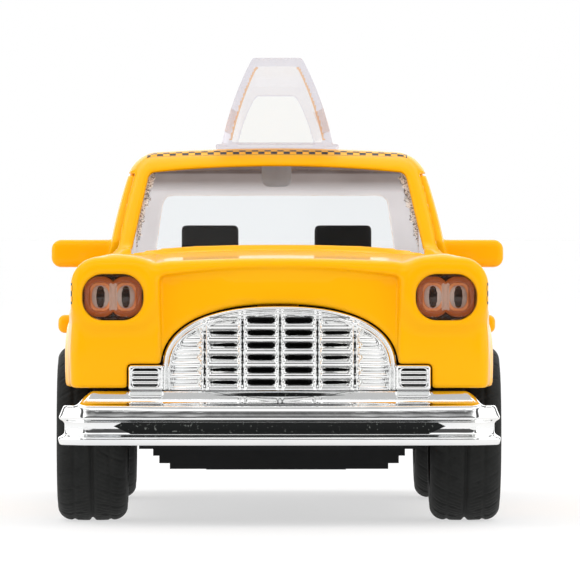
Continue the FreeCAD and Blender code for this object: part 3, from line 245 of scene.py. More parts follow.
class Nodes:
    """Short ways to build a node material, or to add to a material or a world given as owner."""

    def __init__(self, name, owner=None, shader="Principled BSDF"):
        self.material = owner or bpy.data.materials.new(name)
        self.material.use_nodes = True
        self.tree = self.material.node_tree
        self.shader = self.tree.nodes[shader]
        self.coordinates = self.tree.nodes.new("ShaderNodeTexCoord")

    def set(self, **values):
        """Sets the shader's own sockets."""
        for key, value in values.items():
            self.shader.inputs[key.replace("_", " ")].default_value = value
        return self

    def link(self, output, target):
        self.tree.links.new(output, target)

    def math(self, operation, *values, clamp=False):
        node = self.tree.nodes.new("ShaderNodeMath")
        node.operation = operation
        node.use_clamp = clamp
        for i, value in enumerate(values):
            if isinstance(value, (int, float)):
                node.inputs[i].default_value = value
            else:
                self.link(value, node.inputs[i])
        return node.outputs[0]

    def times(self, *values):
        return functools.reduce(functools.partial(self.math, "MULTIPLY"), values)

    def most(self, *values):
        return functools.reduce(functools.partial(self.math, "MAXIMUM"), values)

    def axes(self):
        """The object's x, y and z in millimetres."""
        scaled = self.tree.nodes.new("ShaderNodeVectorMath")
        scaled.operation = "SCALE"
        scaled.inputs["Scale"].default_value = 1 / MM
        self.link(self.coordinates.outputs["Object"], scaled.inputs[0])
        apart = self.tree.nodes.new("ShaderNodeSeparateXYZ")
        self.link(scaled.outputs[0], apart.inputs[0])
        return apart.outputs

    def noise(self, scale, detail=4, roughness=0.6, distortion=0.0):
        node = self.tree.nodes.new("ShaderNodeTexNoise")
        self.link(self.coordinates.outputs["Object"], node.inputs["Vector"])
        node.inputs["Scale"].default_value = scale
        node.inputs["Detail"].default_value = detail
        node.inputs["Roughness"].default_value = roughness
        node.inputs["Distortion"].default_value = distortion
        return node.outputs["Fac"]

    def spread(self, value, low, high, to_low=0.0, to_high=1.0, smooth=False):
        """One range of values mapped onto another."""
        node = self.tree.nodes.new("ShaderNodeMapRange")
        node.interpolation_type = "SMOOTHSTEP" if smooth else "LINEAR"
        self.link(value, node.inputs["Value"])
        for key, number in (("From Min", low), ("From Max", high), ("To Min", to_low), ("To Max", to_high)):
            node.inputs[key].default_value = number
        return node.outputs["Result"]

    def mix(self, share, first, second):
        """The first colour where share is 0, the second where it is 1."""
        node = self.tree.nodes.new("ShaderNodeMix")
        node.data_type = "RGBA"
        for key, value in (("Factor", share), ("A", first), ("B", second)):
            socket = next(s for s in node.inputs if s.name == key and s.enabled)
            if isinstance(value, (int, float, tuple)):
                socket.default_value = value
            else:
                self.link(value, socket)
        return next(s for s in node.outputs if s.enabled)

    def into(self, **links):
        """Links outputs to the shader's sockets."""
        for key, output in links.items():
            self.link(output, self.shader.inputs[key.replace("_", " ")])
        return self

    def bumpy(self, height, strength, distance):
        node = self.tree.nodes.new("ShaderNodeBump")
        node.inputs["Strength"].default_value = strength
        node.inputs["Distance"].default_value = distance
        self.link(height, node.inputs["Height"])
        self.link(node.outputs[0], self.shader.inputs["Normal"])
        return self


def window(nodes, value, low, high):
    """1 between two values, 0 outside."""
    above, below = nodes.math("GREATER_THAN", value, low), nodes.math("LESS_THAN", value, high)
    return nodes.times(above, below)


def checks(nodes, first, second, pitch):
    """A chequer of two coordinates."""
    cells = [nodes.math("FLOOR", nodes.math("DIVIDE", value, pitch)) for value in (first, second)]
    return nodes.math("GREATER_THAN", nodes.math("PINGPONG", nodes.math("ADD", *cells), 1.0), 0.5)


WHITE, BLACK = (1, 1, 1, 1), (0.012, 0.012, 0.013, 1)
# the strip of checks on the roof's edge, its black rim, and its squares
STRIP_HALF, STRIP_Y, STRIP_LOW, STRIP_BOW = 15.4, (-12.15, -10.6), 41.0, 0.005
RIM_HALF, RIM_Y = 15.26, (-12.07, -10.7)
SQUARES_Y, SQUARE = (-11.95, -10.8), 0.75
# the patch of checks on each wing beside the lamp
PATCH_Y, PATCH_Z, PATCH_FROM, PATCH_SQUARE = (-61.3, -57.9), (24.9, 27.3), 22.5, 0.6


def paint(name, decals):
    """Glossy taxi yellow over a casting: faint orange peel, warm and cool drift, and printed chequers."""
    nodes = Nodes(name)
    drift = nodes.spread(nodes.noise(60, 3), 0.3, 0.7)
    colour = nodes.mix(drift, (0.99, 0.45, 0.001, 1), (1.0, 0.48, 0.002, 1))
    if decals:
        x, y, z = nodes.axes()
        bowed = nodes.math("SUBTRACT", y, nodes.times(x, x, STRIP_BOW))
        strip = nodes.times(window(nodes, bowed, *STRIP_Y), nodes.math("GREATER_THAN", z, STRIP_LOW))
        strip = nodes.times(strip, window(nodes, x, -STRIP_HALF, STRIP_HALF))
        rim_x = nodes.math("SUBTRACT", 1.0, window(nodes, x, -RIM_HALF, RIM_HALF))
        rim_y = nodes.math("SUBTRACT", 1.0, window(nodes, bowed, *RIM_Y))
        squares = nodes.times(checks(nodes, x, bowed, SQUARE), window(nodes, bowed, *SQUARES_Y))
        strip = nodes.times(strip, nodes.most(rim_x, rim_y, squares))
        outside = nodes.math("GREATER_THAN", nodes.math("ABSOLUTE", x), PATCH_FROM)
        patch = nodes.times(window(nodes, y, *PATCH_Y), window(nodes, z, *PATCH_Z), outside)
        patch = nodes.times(patch, checks(nodes, y, z, PATCH_SQUARE))
        colour = nodes.mix(nodes.most(strip, patch), colour, BLACK)
    nodes.into(Base_Color=colour, Roughness=nodes.spread(nodes.noise(900, 4), 0.2, 0.8, 0.26, 0.34))
    nodes.set(Coat_Weight=0.34, Coat_Roughness=0.03, Coat_IOR=1.3, IOR=1.3, Specular_IOR_Level=0.12)
    return nodes.bumpy(nodes.noise(700, 2), 0.05, 0.0001).material


PLATING = ((0.86, 0.87, 0.88), (0.93, 0.93, 0.92))


def chrome(name, roughness=0.05, shade=1.0):
    """Vacuum-plated plastic: bright, with faint swirls and dust; shade below 1 darkens it as painted shade.
    """
    nodes = Nodes(name)
    haze = nodes.noise(1500, 5)
    nodes.into(Roughness=nodes.spread(haze, 0.35, 0.75, roughness, roughness + 0.07))
    tones = [tuple(c * shade for c in tone) + (1,) for tone in PLATING]
    nodes.into(Base_Color=nodes.mix(nodes.spread(nodes.noise(120, 2), 0.3, 0.7), *tones))
    nodes.set(Metallic=1.0)
    return nodes.bumpy(nodes.noise(420, 3), 0.06, 0.00012).material


# painted shade: the black line in the bumper's groove, with pointed ends, and the dark line of shadow under
# the grille's foot
GROOVE_SHADE_Z, GROOVE_SHADE_MIDDLE, GROOVE_SHADE_HALF, GROOVE_SHADE_POINT = (10.36, 11.66), 11.25, 18.6, 2.2
FOOT_SHADE_Z, FOOT_SHADE_HALF, FOOT_SHADE_BOW = 14.72, 0.19, 0.0034


def bumper_chrome(name):
    """Chrome with painted shade: a specked black line in the groove and another under the grille's foot."""
    nodes = Nodes(name, chrome(name))
    x, y, z = nodes.axes()
    side = nodes.math("ABSOLUTE", x)
    fall = nodes.math("ABSOLUTE", nodes.math("SUBTRACT", z, GROOVE_SHADE_MIDDLE))
    ends = nodes.math("LESS_THAN", nodes.math("MULTIPLY_ADD", fall, GROOVE_SHADE_POINT, side), GROOVE_SHADE_HALF)
    line = nodes.times(window(nodes, z, *GROOVE_SHADE_Z), ends)
    off = nodes.math("ABSOLUTE", nodes.math("SUBTRACT", z, FOOT_SHADE_Z))
    off = nodes.math("MULTIPLY_ADD", nodes.times(x, x), FOOT_SHADE_BOW, off)
    # dark is where painted shade takes the place of the chrome
    dark = nodes.most(line, nodes.math("LESS_THAN", off, FOOT_SHADE_HALF))
    speck = nodes.spread(nodes.noise(2600, 3), 0.62, 0.7)
    black = nodes.mix(speck, (0.009, 0.01, 0.01, 1), (0.16, 0.17, 0.16, 1))
    for key, value in (("Base Color", black), ("Roughness", nodes.spread(speck, 0, 1, 0.35, 0.6))):
        socket = nodes.shader.inputs[key]
        nodes.link(nodes.mix(dark, socket.links[0].from_socket, value), socket)
    nodes.into(Metallic=nodes.math("SUBTRACT", 1.0, dark)).set(Specular_IOR_Level=0.12)
    return nodes.material


def plastic(name, colour, roughness, grain=900, depth=0.00003, lighter=1.35, gloss=0.5, painted_glow=0.0):
    """Moulded plastic with a fine grain and slight colour drift; a glow above 0 makes it glow as painted
    light.
    """
    nodes = Nodes(name)
    light = tuple(min(c * lighter + 0.002, 1) for c in colour[:3]) + (1,)
    shade = nodes.mix(nodes.spread(nodes.noise(180, 4), 0.3, 0.75), colour, light)
    nodes.into(Base_Color=shade)
    nodes.set(Specular_IOR_Level=gloss)
    if painted_glow > 0:
        nodes.into(Emission_Color=shade).set(Emission_Strength=painted_glow)
    rough = nodes.spread(nodes.noise(grain, 3), 0.25, 0.75, roughness - 0.06, roughness + 0.08)
    nodes.into(Roughness=rough)
    return nodes.bumpy(nodes.noise(grain * 1.6, 3), 0.35, depth).material


def clear(name, tint, gloss, haze, strength, least=0.014):
    """Thin clear moulding: see-through head on, mirror-like at a glance, with a little haze."""
    nodes = Nodes(name)

    def surface(kind, colour):
        node = nodes.tree.nodes.new(f"ShaderNodeBsdf{kind}")
        node.inputs["Color"].default_value = colour
        return node

    def blend(share, first, second):
        node = nodes.tree.nodes.new("ShaderNodeMixShader")
        for socket, output in zip(node.inputs, (share, first.outputs[0], second.outputs[0])):
            nodes.link(output, socket)
        return node

    shine = surface("Glossy", WHITE)
    nodes.link(nodes.spread(nodes.noise(300, 3), 0.3, 0.8, gloss, gloss + 0.05), shine.inputs["Roughness"])
    edge = nodes.tree.nodes.new("ShaderNodeLayerWeight")
    edge.inputs["Blend"].default_value = 0.5
    glance = nodes.math("POWER", edge.outputs["Facing"], 4.0)
    glance = nodes.math("MULTIPLY_ADD", glance, 0.8, least)
    glance = nodes.math("MULTIPLY", glance, strength, clamp=True)
    glass = blend(glance, surface("Transparent", tint), shine)
    amount = nodes.spread(nodes.noise(90, 4), 0.3, 0.8, haze * 0.7, haze * 1.3)
    glass = blend(amount, glass, surface("Translucent", (0.93, 0.93, 0.93, 1)))
    nodes.tree.nodes.remove(nodes.shader)
    nodes.link(glass.outputs[0], nodes.tree.nodes["Material Output"].inputs["Surface"])
    return nodes.material


def painted_light_liner(name):
    """The cabin's inside with painted light and shade: pale and glowing a little as painted light, and
    darkening towards the roof as painted shade.
    """
    nodes = Nodes(name)
    height = nodes.axes()[2]
    colour = nodes.mix(nodes.spread(height, 37.8, 39.3), (0.8, 0.75, 0.745, 1), (0.25, 0.2, 0.185, 1))
    colour = nodes.mix(nodes.spread(height, 40.1, 40.3), colour, (0.07, 0.035, 0.025, 1))
    cloud = nodes.spread(nodes.noise(150, 4), 0.3, 0.75, 0, 0.35)
    colour = nodes.mix(cloud, colour, (0.5, 0.45, 0.44, 1))
    nodes.into(Base_Color=colour, Emission_Color=colour)
    nodes.into(Roughness=nodes.spread(nodes.noise(700, 3), 0.3, 0.7, 0.45, 0.6))
    nodes.set(Emission_Strength=0.9)
    return nodes.bumpy(nodes.noise(900, 3), 0.3, 0.00003).material


def knurl(name):
    """The rough silvery edge of a clear moulding."""
    nodes = Nodes(name)
    grain = nodes.noise(4200, 4, 0.7)
    sparkle = nodes.spread(grain, 0.38, 0.52)
    nodes.into(Base_Color=nodes.mix(sparkle, (0.1, 0.09, 0.08, 1), (0.95, 0.94, 0.93, 1)))
    nodes.into(Roughness=nodes.spread(grain, 0.3, 0.7, 0.15, 0.45))
    nodes.set(Metallic=0.2)
    return nodes.bumpy(grain, 0.8, 0.0001).material


def metal(name, colour, roughness, grain=2000):
    """Bare metal with fine turning marks."""
    nodes = Nodes(name)
    marks = nodes.noise(grain, 4, distortion=1.5)
    nodes.into(Roughness=nodes.spread(marks, 0.3, 0.7, roughness - 0.05, roughness + 0.1))
    darker = tuple(c * 0.8 for c in colour[:3]) + (1,)
    nodes.into(Base_Color=nodes.mix(nodes.spread(marks, 0.3, 0.7), darker, colour))
    nodes.set(Metallic=1.0)
    return nodes.bumpy(marks, 0.2, 0.00002).material


PAINT = paint("taxi_yellow", True)
PAINT_PLAIN = paint("taxi_yellow_plain", False)
CHROME = chrome("plated_chrome")
# bumper chrome with painted shade in its groove and under the grille's foot
CHROME_BUMPER_PAINTED_SHADE = bumper_chrome("plated_chrome_bumper_painted_shade")
CHROME_SOFT = chrome("plated_chrome_soft", 0.12)
# darker chrome, painted on as shade
CHROME_PAINTED_SHADE = chrome("plated_chrome_painted_shade", 0.3, 0.42)
GLAZING = clear("window_clear", (0.968, 0.974, 0.978, 1), 0.02, 0.004, 1.0, 0.004)
LAMP_CLEAR = clear("lamp_clear", (0.93, 0.88, 0.85, 1), 0.03, 0.04, 1.6)
SIGN_CLEAR = clear("sign_frosted", (0.86, 0.85, 0.885, 1), 0.05, 0.08, 0.6)
SIGN_PEG = clear("sign_peg", (0.95, 0.94, 0.93, 1), 0.05, 0.45, 1.0)
RUBBER = plastic("tyre_rubber", (0.009, 0.0095, 0.009, 1), 0.65, 1600, 0.00006, 1.8, 0.2)
SEAT_BLACK = plastic("interior_black", (0.005, 0.005, 0.005, 1), 0.5, 1300, 0.00005, 1.35, 0.2)
BASE_BLACK = plastic("base_black", (0.006, 0.0065, 0.007, 1), 0.5, 1100, 0.00004, 1.35, 0.2)
# black painted into recesses as shade
RECESS_PAINTED_SHADE = plastic("recess_painted_shade", (0.003, 0.003, 0.003, 1), 0.8)
# headlamp reflector paints, all painted light and shade on its chrome: a glowing brown on the rings, a
# glowing painted highlight round the domes, a glowing painted reflection on the domes, a painted glow
# between them, and painted shade on the plate and in the domes' middles; the reflector is no lamp
BOWL_BROWN_PAINTED_GLOW = plastic("bowl_brown_painted_glow", (0.5, 0.15, 0.035, 1), 0.3, painted_glow=0.1)
BOWL_PAINTED_HIGHLIGHT = plastic("bowl_painted_highlight", (0.85, 0.4, 0.17, 1), 0.2, lighter=1.1, painted_glow=0.2)
BOWL_PAINTED_REFLECTION = plastic("bowl_painted_reflection", (0.36, 0.36, 0.36, 1), 0.15, 500, lighter=2.2, painted_glow=0.25)
BOWL_PAINTED_GLOW = plastic("bowl_painted_glow", (0.62, 0.5, 0.44, 1), 0.2, lighter=1.1, painted_glow=0.25)
BOWL_PAINTED_SHADE = plastic("bowl_painted_shade", (0.012, 0.009, 0.008, 1), 0.12)
SIGN_WARM = clear("sign_warm", (0.95, 0.935, 0.92, 1), 0.05, 0.05, 0.2)
# painted reflection: an orange tint for the tent's edges
SIGN_EDGE_PAINTED_REFLECTION = clear("sign_edge_painted_reflection", (0.9, 0.6, 0.38, 1), 0.05, 0.1, 0.3)
SIGN_BACK = clear("sign_back", (0.965, 0.97, 0.965, 1), 0.08, 0.06, 0.4)
SIGN_PRINT = plastic("sign_print", (0.75, 0.45, 0.25, 1), 0.3)
# the cabin's inside, with painted light and shade
LINER_PAINTED_LIGHT = painted_light_liner("cast_liner_painted_light")
GLASS_EDGE = knurl("moulding_edge")
LAMP_RED = plastic("lamp_red", (0.5, 0.01, 0.008, 1), 0.15, 500, 0.00001)
AMBER = plastic("lamp_amber", (0.75, 0.2, 0.01, 1), 0.15, 500, 0.00001)
STEEL = metal("bare_steel", (0.56, 0.56, 0.57, 1), 0.28)
ZINC = metal("cast_zinc", (0.42, 0.42, 0.43, 1), 0.45, 900)
BRASS = metal("turned_brass", (0.78, 0.56, 0.25, 1), 0.25)
GEAR_WHITE = plastic("gear_white", (0.78, 0.77, 0.72, 1), 0.4)
MOTOR_BLACK = plastic("motor_black", (0.03, 0.03, 0.034, 1), 0.42)

# ---- the car's outer form ----

FRONT_AXLE_Y, REAR_AXLE_Y, AXLE_Z = -42.0, 34.2, 10.0
WALL = 1.2
BELT = 30.9
LAMP, TAIL_LAMP = (18.7, 25.7), (18.9, 20.0)
HINGE = (22.9, -18.7)
ROOF_PEG = (0, 5)
POSTS = ((-29.0, 30.4), (49.5, 29.2))  # each screw post's y and its top


def lower_form(x, y, z):
    """Wings, hood, doors and trunk up to the belt, without a bottom; x is the distance from the middle."""
    # top: the hood rises to the cowl and ends in a bead, and the trunk falls away
    top = 30.95 + 0.023 * np.clip(y + 22, -60, 0) - 0.1 * ramp(20, 36, y)
    top = top - 0.0032 * over(y - 36) ** 2
    bead = (0.62 + 0.0006 * x**2) * ramp(-25.6, -24.6, y - 0.004 * x**2) * (1 - ramp(17.6, 19.2, x))
    top = top + bead * (1 - ramp(-20, -10, y))
    crown = 0.0021 * x**2
    wing = 1.05 * bump(x, 18.9, 3.2) * (1 - ramp(-58, -33, y))
    tail = 0.5 * bump(x, 19.5, 3.0) * ramp(40, 50, y)
    valley = 0.16 * bump(x, 14.1, 0.9) * (1 - ramp(-34, -27, y))
    valley = valley + 0.12 * bump(x, 15.2, 0.5) * ramp(40, 44, y)
    f_top = z - (top - crown + wing + tail - valley)
    # side: barrelled, with a pressed line under the belt and a lip round each wheel opening
    half = 24.0 - 0.0125 * over(z - 19) ** 2 - 0.008 * over(19 - z) ** 2
    half = half - 0.22 * ramp(24.0, 24.7, z) + 0.12 * bump(z, 23.7, 0.5)
    half = half - 0.0035 * over(-48 - y) ** 2 - 0.0035 * over(y - 46) ** 2
    for axle in (FRONT_AXLE_Y, REAR_AXLE_Y):
        ring = np.sqrt((y - axle) ** 2 + (z - AXLE_Z) ** 2)
        half = half + 0.32 * bump(ring, 12.1, 0.75) * ramp(9, 11, z)
    f_side = (x - half) * 0.99
    # ends
    f_front = (-61.25 + 0.0016 * over(x - 10) ** 2) - y
    f_rear = y - (61.6 - 0.0015 * x**2 - 0.0045 * over(z - 20) ** 2 - 0.3 * bump(z, 16.2, 1.2))
    shell = both(f_side, f_top, 3.3)
    shell = both(shell, f_front, 1.3)
    shell = both(shell, f_rear, 2.2)
    # lamp pods stand a little forward of the wings
    pod = slab(x, z, (18.45, 26.1), (4.98, 4.1), 3.15)
    pod = both(both(pod, -61.85 - y, 1.25), y + 50, 3.0)
    shell = either(shell, pod, 0.7)
    # the nose panel is set back under the hood's lip
    lip = 29.05 - 0.0057 * x**2
    nose_y = -60.15 - 0.45 * (1 - (x / 13.35) ** 2)
    recess = both(x - 13.32 - 0.02 * (z - 22), z - lip, 0.5)
    recess = both(recess, y - nose_y, 0.55)
    return less(shell, recess, 0.4)


def roof_drop(x, y):
    """How far the roof, crowned both ways, has fallen from its highest point."""
    return 0.0022 * x**2 + 0.0004 * (y - 6) ** 2 + 0.00004 * over(y - 14) ** 3


def cabin_form(x, y, z):
    """The cabin above the belt, bulged in plan and tapering to the roof."""
    rise = z - BELT
    f_side = (x - (19.78 - 0.165 * rise - 0.0085 * over(rise) ** 2)) * 0.975
    f_roof = z - (43.02 - roof_drop(x, y))
    front, back = math.atan2(10.6, 9.4), math.atan2(10.6, 9.6)
    f_front = -(y + 22.7 - 0.005 * x**2) * math.sin(front) + rise * math.cos(front)
    f_back = (y - 38.0 + 0.006 * x**2) * math.sin(back) + rise * math.cos(back)
    form = both(f_side, f_roof, 2.3)
    form = both(form, f_front, 2.0)
    return both(form, f_back, 3.0)


def whole_form(x, y, z):
    """Lower body and cabin with a small fillet between them, and no bottom."""
    return either(lower_form(x, y, z), cabin_form(x, y, z), 0.7)


ARCH_POINTS = 41


def arch_outline(grow=0.0):
    """The grille's arch: straight feet under a flattened half circle."""
    wide, centre, tall, power = 13.25 + grow, 17.6, 7.15 + grow, 2.35
    points = [(-wide, 10.0), (wide, 10.0)]
    for i in range(ARCH_POINTS):
        t = math.pi * i / (ARCH_POINTS - 1)
        c, s = math.cos(t), math.sin(t)
        u = math.copysign(abs(c) ** (2 / power), c)
        points.append((wide * u, centre + tall * abs(s) ** (2 / power)))
    return points


DOORWAY = [(-20.05, 12.2), (-20.05, 31.2), (-12.45, 39.85), (3.65, 39.85), (3.65, 12.2)]
DOOR_LEAF = [(HINGE[1], 12.5), (HINGE[1], 32.0), (-12.1, 39.7), (3.0, 39.7), (3.0, 12.5)]
DOOR_WINDOW = [(-16.4, 31.75), (-10.5, 38.35), (1.5, 38.35), (1.5, 31.75)]
SIDE_WINDOW = [(5.9, 31.75), (5.9, 38.35), (18.2, 38.35), (18.2, 31.75)]
QUARTER_WINDOW = [(20.5, 31.75), (20.5, 38.35), (23.6, 38.35), (27.3, 31.75)]
WINDSCREEN = [(-17.35, 30.6), (-15.1, 40.75), (15.1, 40.75), (17.35, 30.6)]
REAR_WINDOW = [(-15.0, 29.6), (-13.75, 37.5), (13.75, 37.5), (15.0, 29.6)]
REAR_DOOR = [(4.6, 12.4), (4.6, 40.2), (19.6, 40.2), (24.5, 33.5), (22.2, 22.5), (19.0, 12.4)]


def groove(distance, width, depth):
    """How far a pressed line sinks the skin at a distance from its middle."""
    return depth * bump(distance, 0, width)


def panel_lines(x, y, z):
    """Pressed lines: rear door, hood edge, trunk lid and fuel flap."""
    sunk = groove(outline(y, z, REAR_DOOR, 1.2), 0.3, 0.42) * ramp(16, 19, x) * ramp(10, 12, z)
    trunk = slab(x, y, (0, 52.5), (15.4, 9.6), 2.5)
    sunk = np.maximum(sunk, groove(trunk, 0.3, 0.4) * ramp(27, 28, z) * ramp(40.5, 42.5, y))
    hood = groove(abs(x - (14.1 + 0.02 * (y + 40))), 0.2, 0.2) * ramp(28.3, 29.2, z)
    sunk = np.maximum(sunk, hood * (1 - ramp(-27, -26.3, y)) * ramp(-60.5, -59, y))
    cowl = abs(y + 26.3 - 0.006 * x**2)
    sunk = np.maximum(sunk, groove(cowl, 0.2, 0.2) * ramp(28.3, 29.2, z) * (1 - ramp(13.9, 14.5, x)))
    flap = slab(y, z, (44.0, 19.9), (1.6, 1.6), 0.5)
    return np.maximum(sunk, groove(flap, 0.18, 0.2) * ramp(20, 22, x))


def wheel_room(y, z, reach):
    """The round openings over the wheels."""
    return merge(*[disc(y, z, (axle, AXLE_Z), reach) for axle in (FRONT_AXLE_Y, REAR_AXLE_Y)])


def body_field(x, y, z):
    """The body casting."""
    form = whole_form(x, y, z)
    inner = form + WALL
    form = form + panel_lines(x, y, z)
    bottom = np.where(y < -50, 15.5, np.where(y > 46, 13.5, 9.6)) - z
    form = both(form, bottom, 0.45)
    shell = less(form, inner, 0.2)
    for at, top in POSTS:
        post = both(disc(x, y, (0, at), 2.4), span(z, 12.8, top), 0.2)
        shell = either(shell, post, 0.5)
        shell = less(shell, both(disc(x, y, (0, at), 0.85), z - 20.8))
    # the glass, the doorway, the wheels, the grille, both kinds of lamp, the tail lamps and the sign's peg
    lamp, tail = slab(x, z, LAMP, (3.42, 2.58), 2.35), slab(x, z, TAIL_LAMP, (2.85, 2.55), 0.5)
    sides = merge(outline(y, z, SIDE_WINDOW, 1.1), outline(y, z, QUARTER_WINDOW, 1.1))
    for opening, side, edge in (
        (outline(x, z + 0.0035 * x**2, WINDSCREEN, 0.8), span(y, -23.9, -7), 0.4),
        (outline(x, z, REAR_WINDOW, 1.3), span(y, 24, 39.0), 0.35),
        (sides, 10 - x, 0.35),
        (outline(y, z, DOORWAY, 0.8), 10 - x, 0.15),
        (wheel_room(y, z, 11.5), 13 - x, 0.3),
        (outline(x, z, arch_outline(0.12)), y + 54, 0.3),
        (both(span(x, -17.12, 17.12), z - 18.2, 0.5), y + 57, 0.3),
        (lamp, y + 56, 0.45),
        (tail, 55 - y, 0.25),
        (disc(x, y, ROOF_PEG, 1.95), 37 - z, 0.0),
    ):
        shell = less(shell, both(opening, side), edge)
    # hinge knuckle and its web, and the boss in the sill
    ear = both(disc(x, y, HINGE, 0.85), span(z, 22.5, 24.5), 0.1)
    web = brick(x, y, z, (22.2, -21.3, 22.5), (23.3, -18.9, 24.5), 0.1)
    boss = brick(x, y, z, (21.4, -20.9, 9.7), (23.2, -16.5, 12.2), 0.2)
    return less(merge(shell, ear, web, boss), both(disc(x, y, HINGE, 0.4), 10.5 - z))


def door_field(x, y, z):
    """A front door with its mirror and handle; x is the distance from the middle."""
    form = whole_form(x, y, z)
    inner = form + WALL
    blank = merge(outline(y, z, DOOR_LEAF, 0.5), both(disc(x, y, HINGE, 1.1), span(z, 12.5, 31.2), 0.2))
    panel = both(form, blank, 0.15)
    panel = less(panel, inner, 0.15)
    panel = less(panel, outline(y, z, DOOR_WINDOW, 1.1), 0.35)
    panel = both(panel, 12.0 - x)
    knuckle = both(disc(x, y, HINGE, 0.95), span(z, 12.5, 22.25), 0.1)
    panel = either(panel, knuckle, 0.2)
    # the mirror: a flat rounded paddle on a short arm
    arm = brick(x, y, z, (19.0, -17.4, 29.6), (23.5, -15.6, 31.6), 0.7)
    paddle = both(slab(x, z, (22.5, 30.47), (4.1, 1.62), 1.15), span(y, -17.5, -15.4), 0.8)
    panel = either(panel, either(arm, paddle, 0.3), 0.25)
    # the handle is a rounded bar, with a lock under it
    bar = both(slab(y, z, (-0.6, 22.0), (2.1, 1.1), 0.9), span(x, 22.9, 26.15), 0.8)
    panel = either(panel, bar, 0.3)
    lock = both(disc(y, z, (-0.6, 18.9), 0.5), span(x, 23.0, 24.25), 0.1)
    panel = either(panel, lock, 0.1)
    panel = less(panel, brick(x, y, z, (20.9, -21, 22.25), (24.9, -17.5, 24.75)))
    return less(panel, both(disc(x, y, HINGE, 0.46), span(z, 11.5, 23.5)))


body = skin("body_paintwork", body_field, (0, -62.4, 9.2), (24.8, 62.2, 43.4), 0.27, True, 0.004)
place(body, PAINT, "body_shell")

for name, sign in (("left", 1), ("right", -1)):
    low, high = ((15.4, 27.0) if sign > 0 else (-27.0, -15.4))
    door = skin(
        f"door_paintwork_{name}",
        lambda x, y, z: door_field(abs(x), y, z),
        (low, -20.2, 12.2),
        (high, 3.3, 40.0),
        0.2,
        thin=0.002,
    )
    place(door, PAINT_PLAIN, f"door_{name}", f"{name}_door")

# ---- repainting by place ----


def repaint(piece, material, test):
    """Gives a second material to the faces whose centres, in millimetres, pass a test."""
    mesh = piece.data
    centres = np.empty(len(mesh.polygons) * 3, np.float32)
    mesh.polygons.foreach_get("center", centres)
    x, y, z = centres.reshape(-1, 3).T / MM
    chosen = test(x, y, z)
    slots = np.empty(len(mesh.polygons), np.int32)
    mesh.polygons.foreach_get("material_index", slots)
    slots[chosen] = len(mesh.materials)
    mesh.materials.append(material)
    mesh.polygons.foreach_set("material_index", slots)


# the cabin's inner faces take the liner, whose pale glow and darkening are painted light and shade
repaint(
    body,
    LINER_PAINTED_LIGHT,
    lambda x, y, z: (z > 29.2) & (abs(y - 8) < 30) & (whole_form(abs(x), y, z) < -0.85)
    | (z > 31.2) & (cabin_form(abs(x), y, z) < -0.85),
)

# ---- grille and parking lamps ----

SLOT_TOP, SLOT_PITCH = 23.1, 1.39
UPRIGHT_HALF = 0.36
PARK_X, PARK_Z, RIB_PITCH = 15.05, 16.68, 0.56
GRILLE_Y, GRILLE_BOW = -61.9, 40  # the front's foremost point and the radius of its bow
UPRIGHTS = (-8.4, -4.17, 0.05, 4.25, 8.46)


def grille_face(x):
    """Where the bowed front of the grille lies."""
    return GRILLE_Y + GRILLE_BOW - np.sqrt(GRILLE_BOW**2 - np.minimum(abs(x), 17.2) ** 2)


def from_slot(z):
    """Height above the middle of the nearest row of slots."""
    phase = (z - SLOT_TOP) / SLOT_PITCH
    return (phase - np.round(phase)) * SLOT_PITCH


def from_upright(x):
    """Distance from the nearest upright's middle."""
    return merge(*[abs(x - bar) for bar in UPRIGHTS])


def grille_depth(x, z, edge):
    """How far the grille's surface lies behind its bowed front."""
    side = abs(x)
    off = abs(from_slot(z))
    inside = ramp(0.95, 1.25, edge) * ramp(0.0, 0.3, z - 15.45)
    louvre = 0.3 + 0.5 * (1 - ramp(0.1, 0.6, off)) ** 1.3
    fade = 1 - ramp(8.2, 9.3, side)
    narrow = 0.105 - 0.11 * ramp(3.9, 4.6, side) - 0.035 * ramp(5.5, 8, side)
    slot = 1.3 * (1 - ramp(0, 0.13, off - narrow)) * (0.12 + 0.88 * fade)
    depth = louvre + slot * inside
    apart = from_upright(x)
    upright = 0.1 + 0.45 * bump(apart, 0, 0.1) + 4.0 * over(apart - UPRIGHT_HALF)
    knob = 0.06 + 3.2 * over(np.sqrt((apart - UPRIGHT_HALF) ** 2 + off**2) - 0.2)
    rim = 0.26 * bump(edge, 0.5, 0.11) + 2.6 * over(edge - 0.92)
    return merge(depth, upright, knob, rim)


def grille_field(x, y, z):
    """The arched grille with a parking lamp at each foot."""
    arch = outline(x, z, arch_outline(-0.06))
    behind = y - grille_face(x)
    plate = both((grille_depth(x, z, -arch) - behind) * 0.55, behind - 2.4, 0.1)
    plate = both(both(plate, arch, 0.22), 15.2 - z, 0.1)
    side = abs(x)
    lamp = brick(side, y, z, (13.0, -61.45, 15.2), (16.98, -58.2, 18.1), 0.42)
    lamp = less(lamp, both(slab(side, z, (PARK_X, PARK_Z), (1.42, 1.02), 0.35), y + 60.75), 0.14)
    row = (z - PARK_Z) / RIB_PITCH
    ribs = np.sqrt((abs(row - np.round(row)) * RIB_PITCH) ** 2 + (y + 60.95) ** 2) - 0.2
    ribs = both(ribs, slab(side, z, (PARK_X, PARK_Z), (1.5, 1.05), 0.35))
    return merge(plate, lamp, both(ribs, span(y, -61.3, -60.4), 0.05))


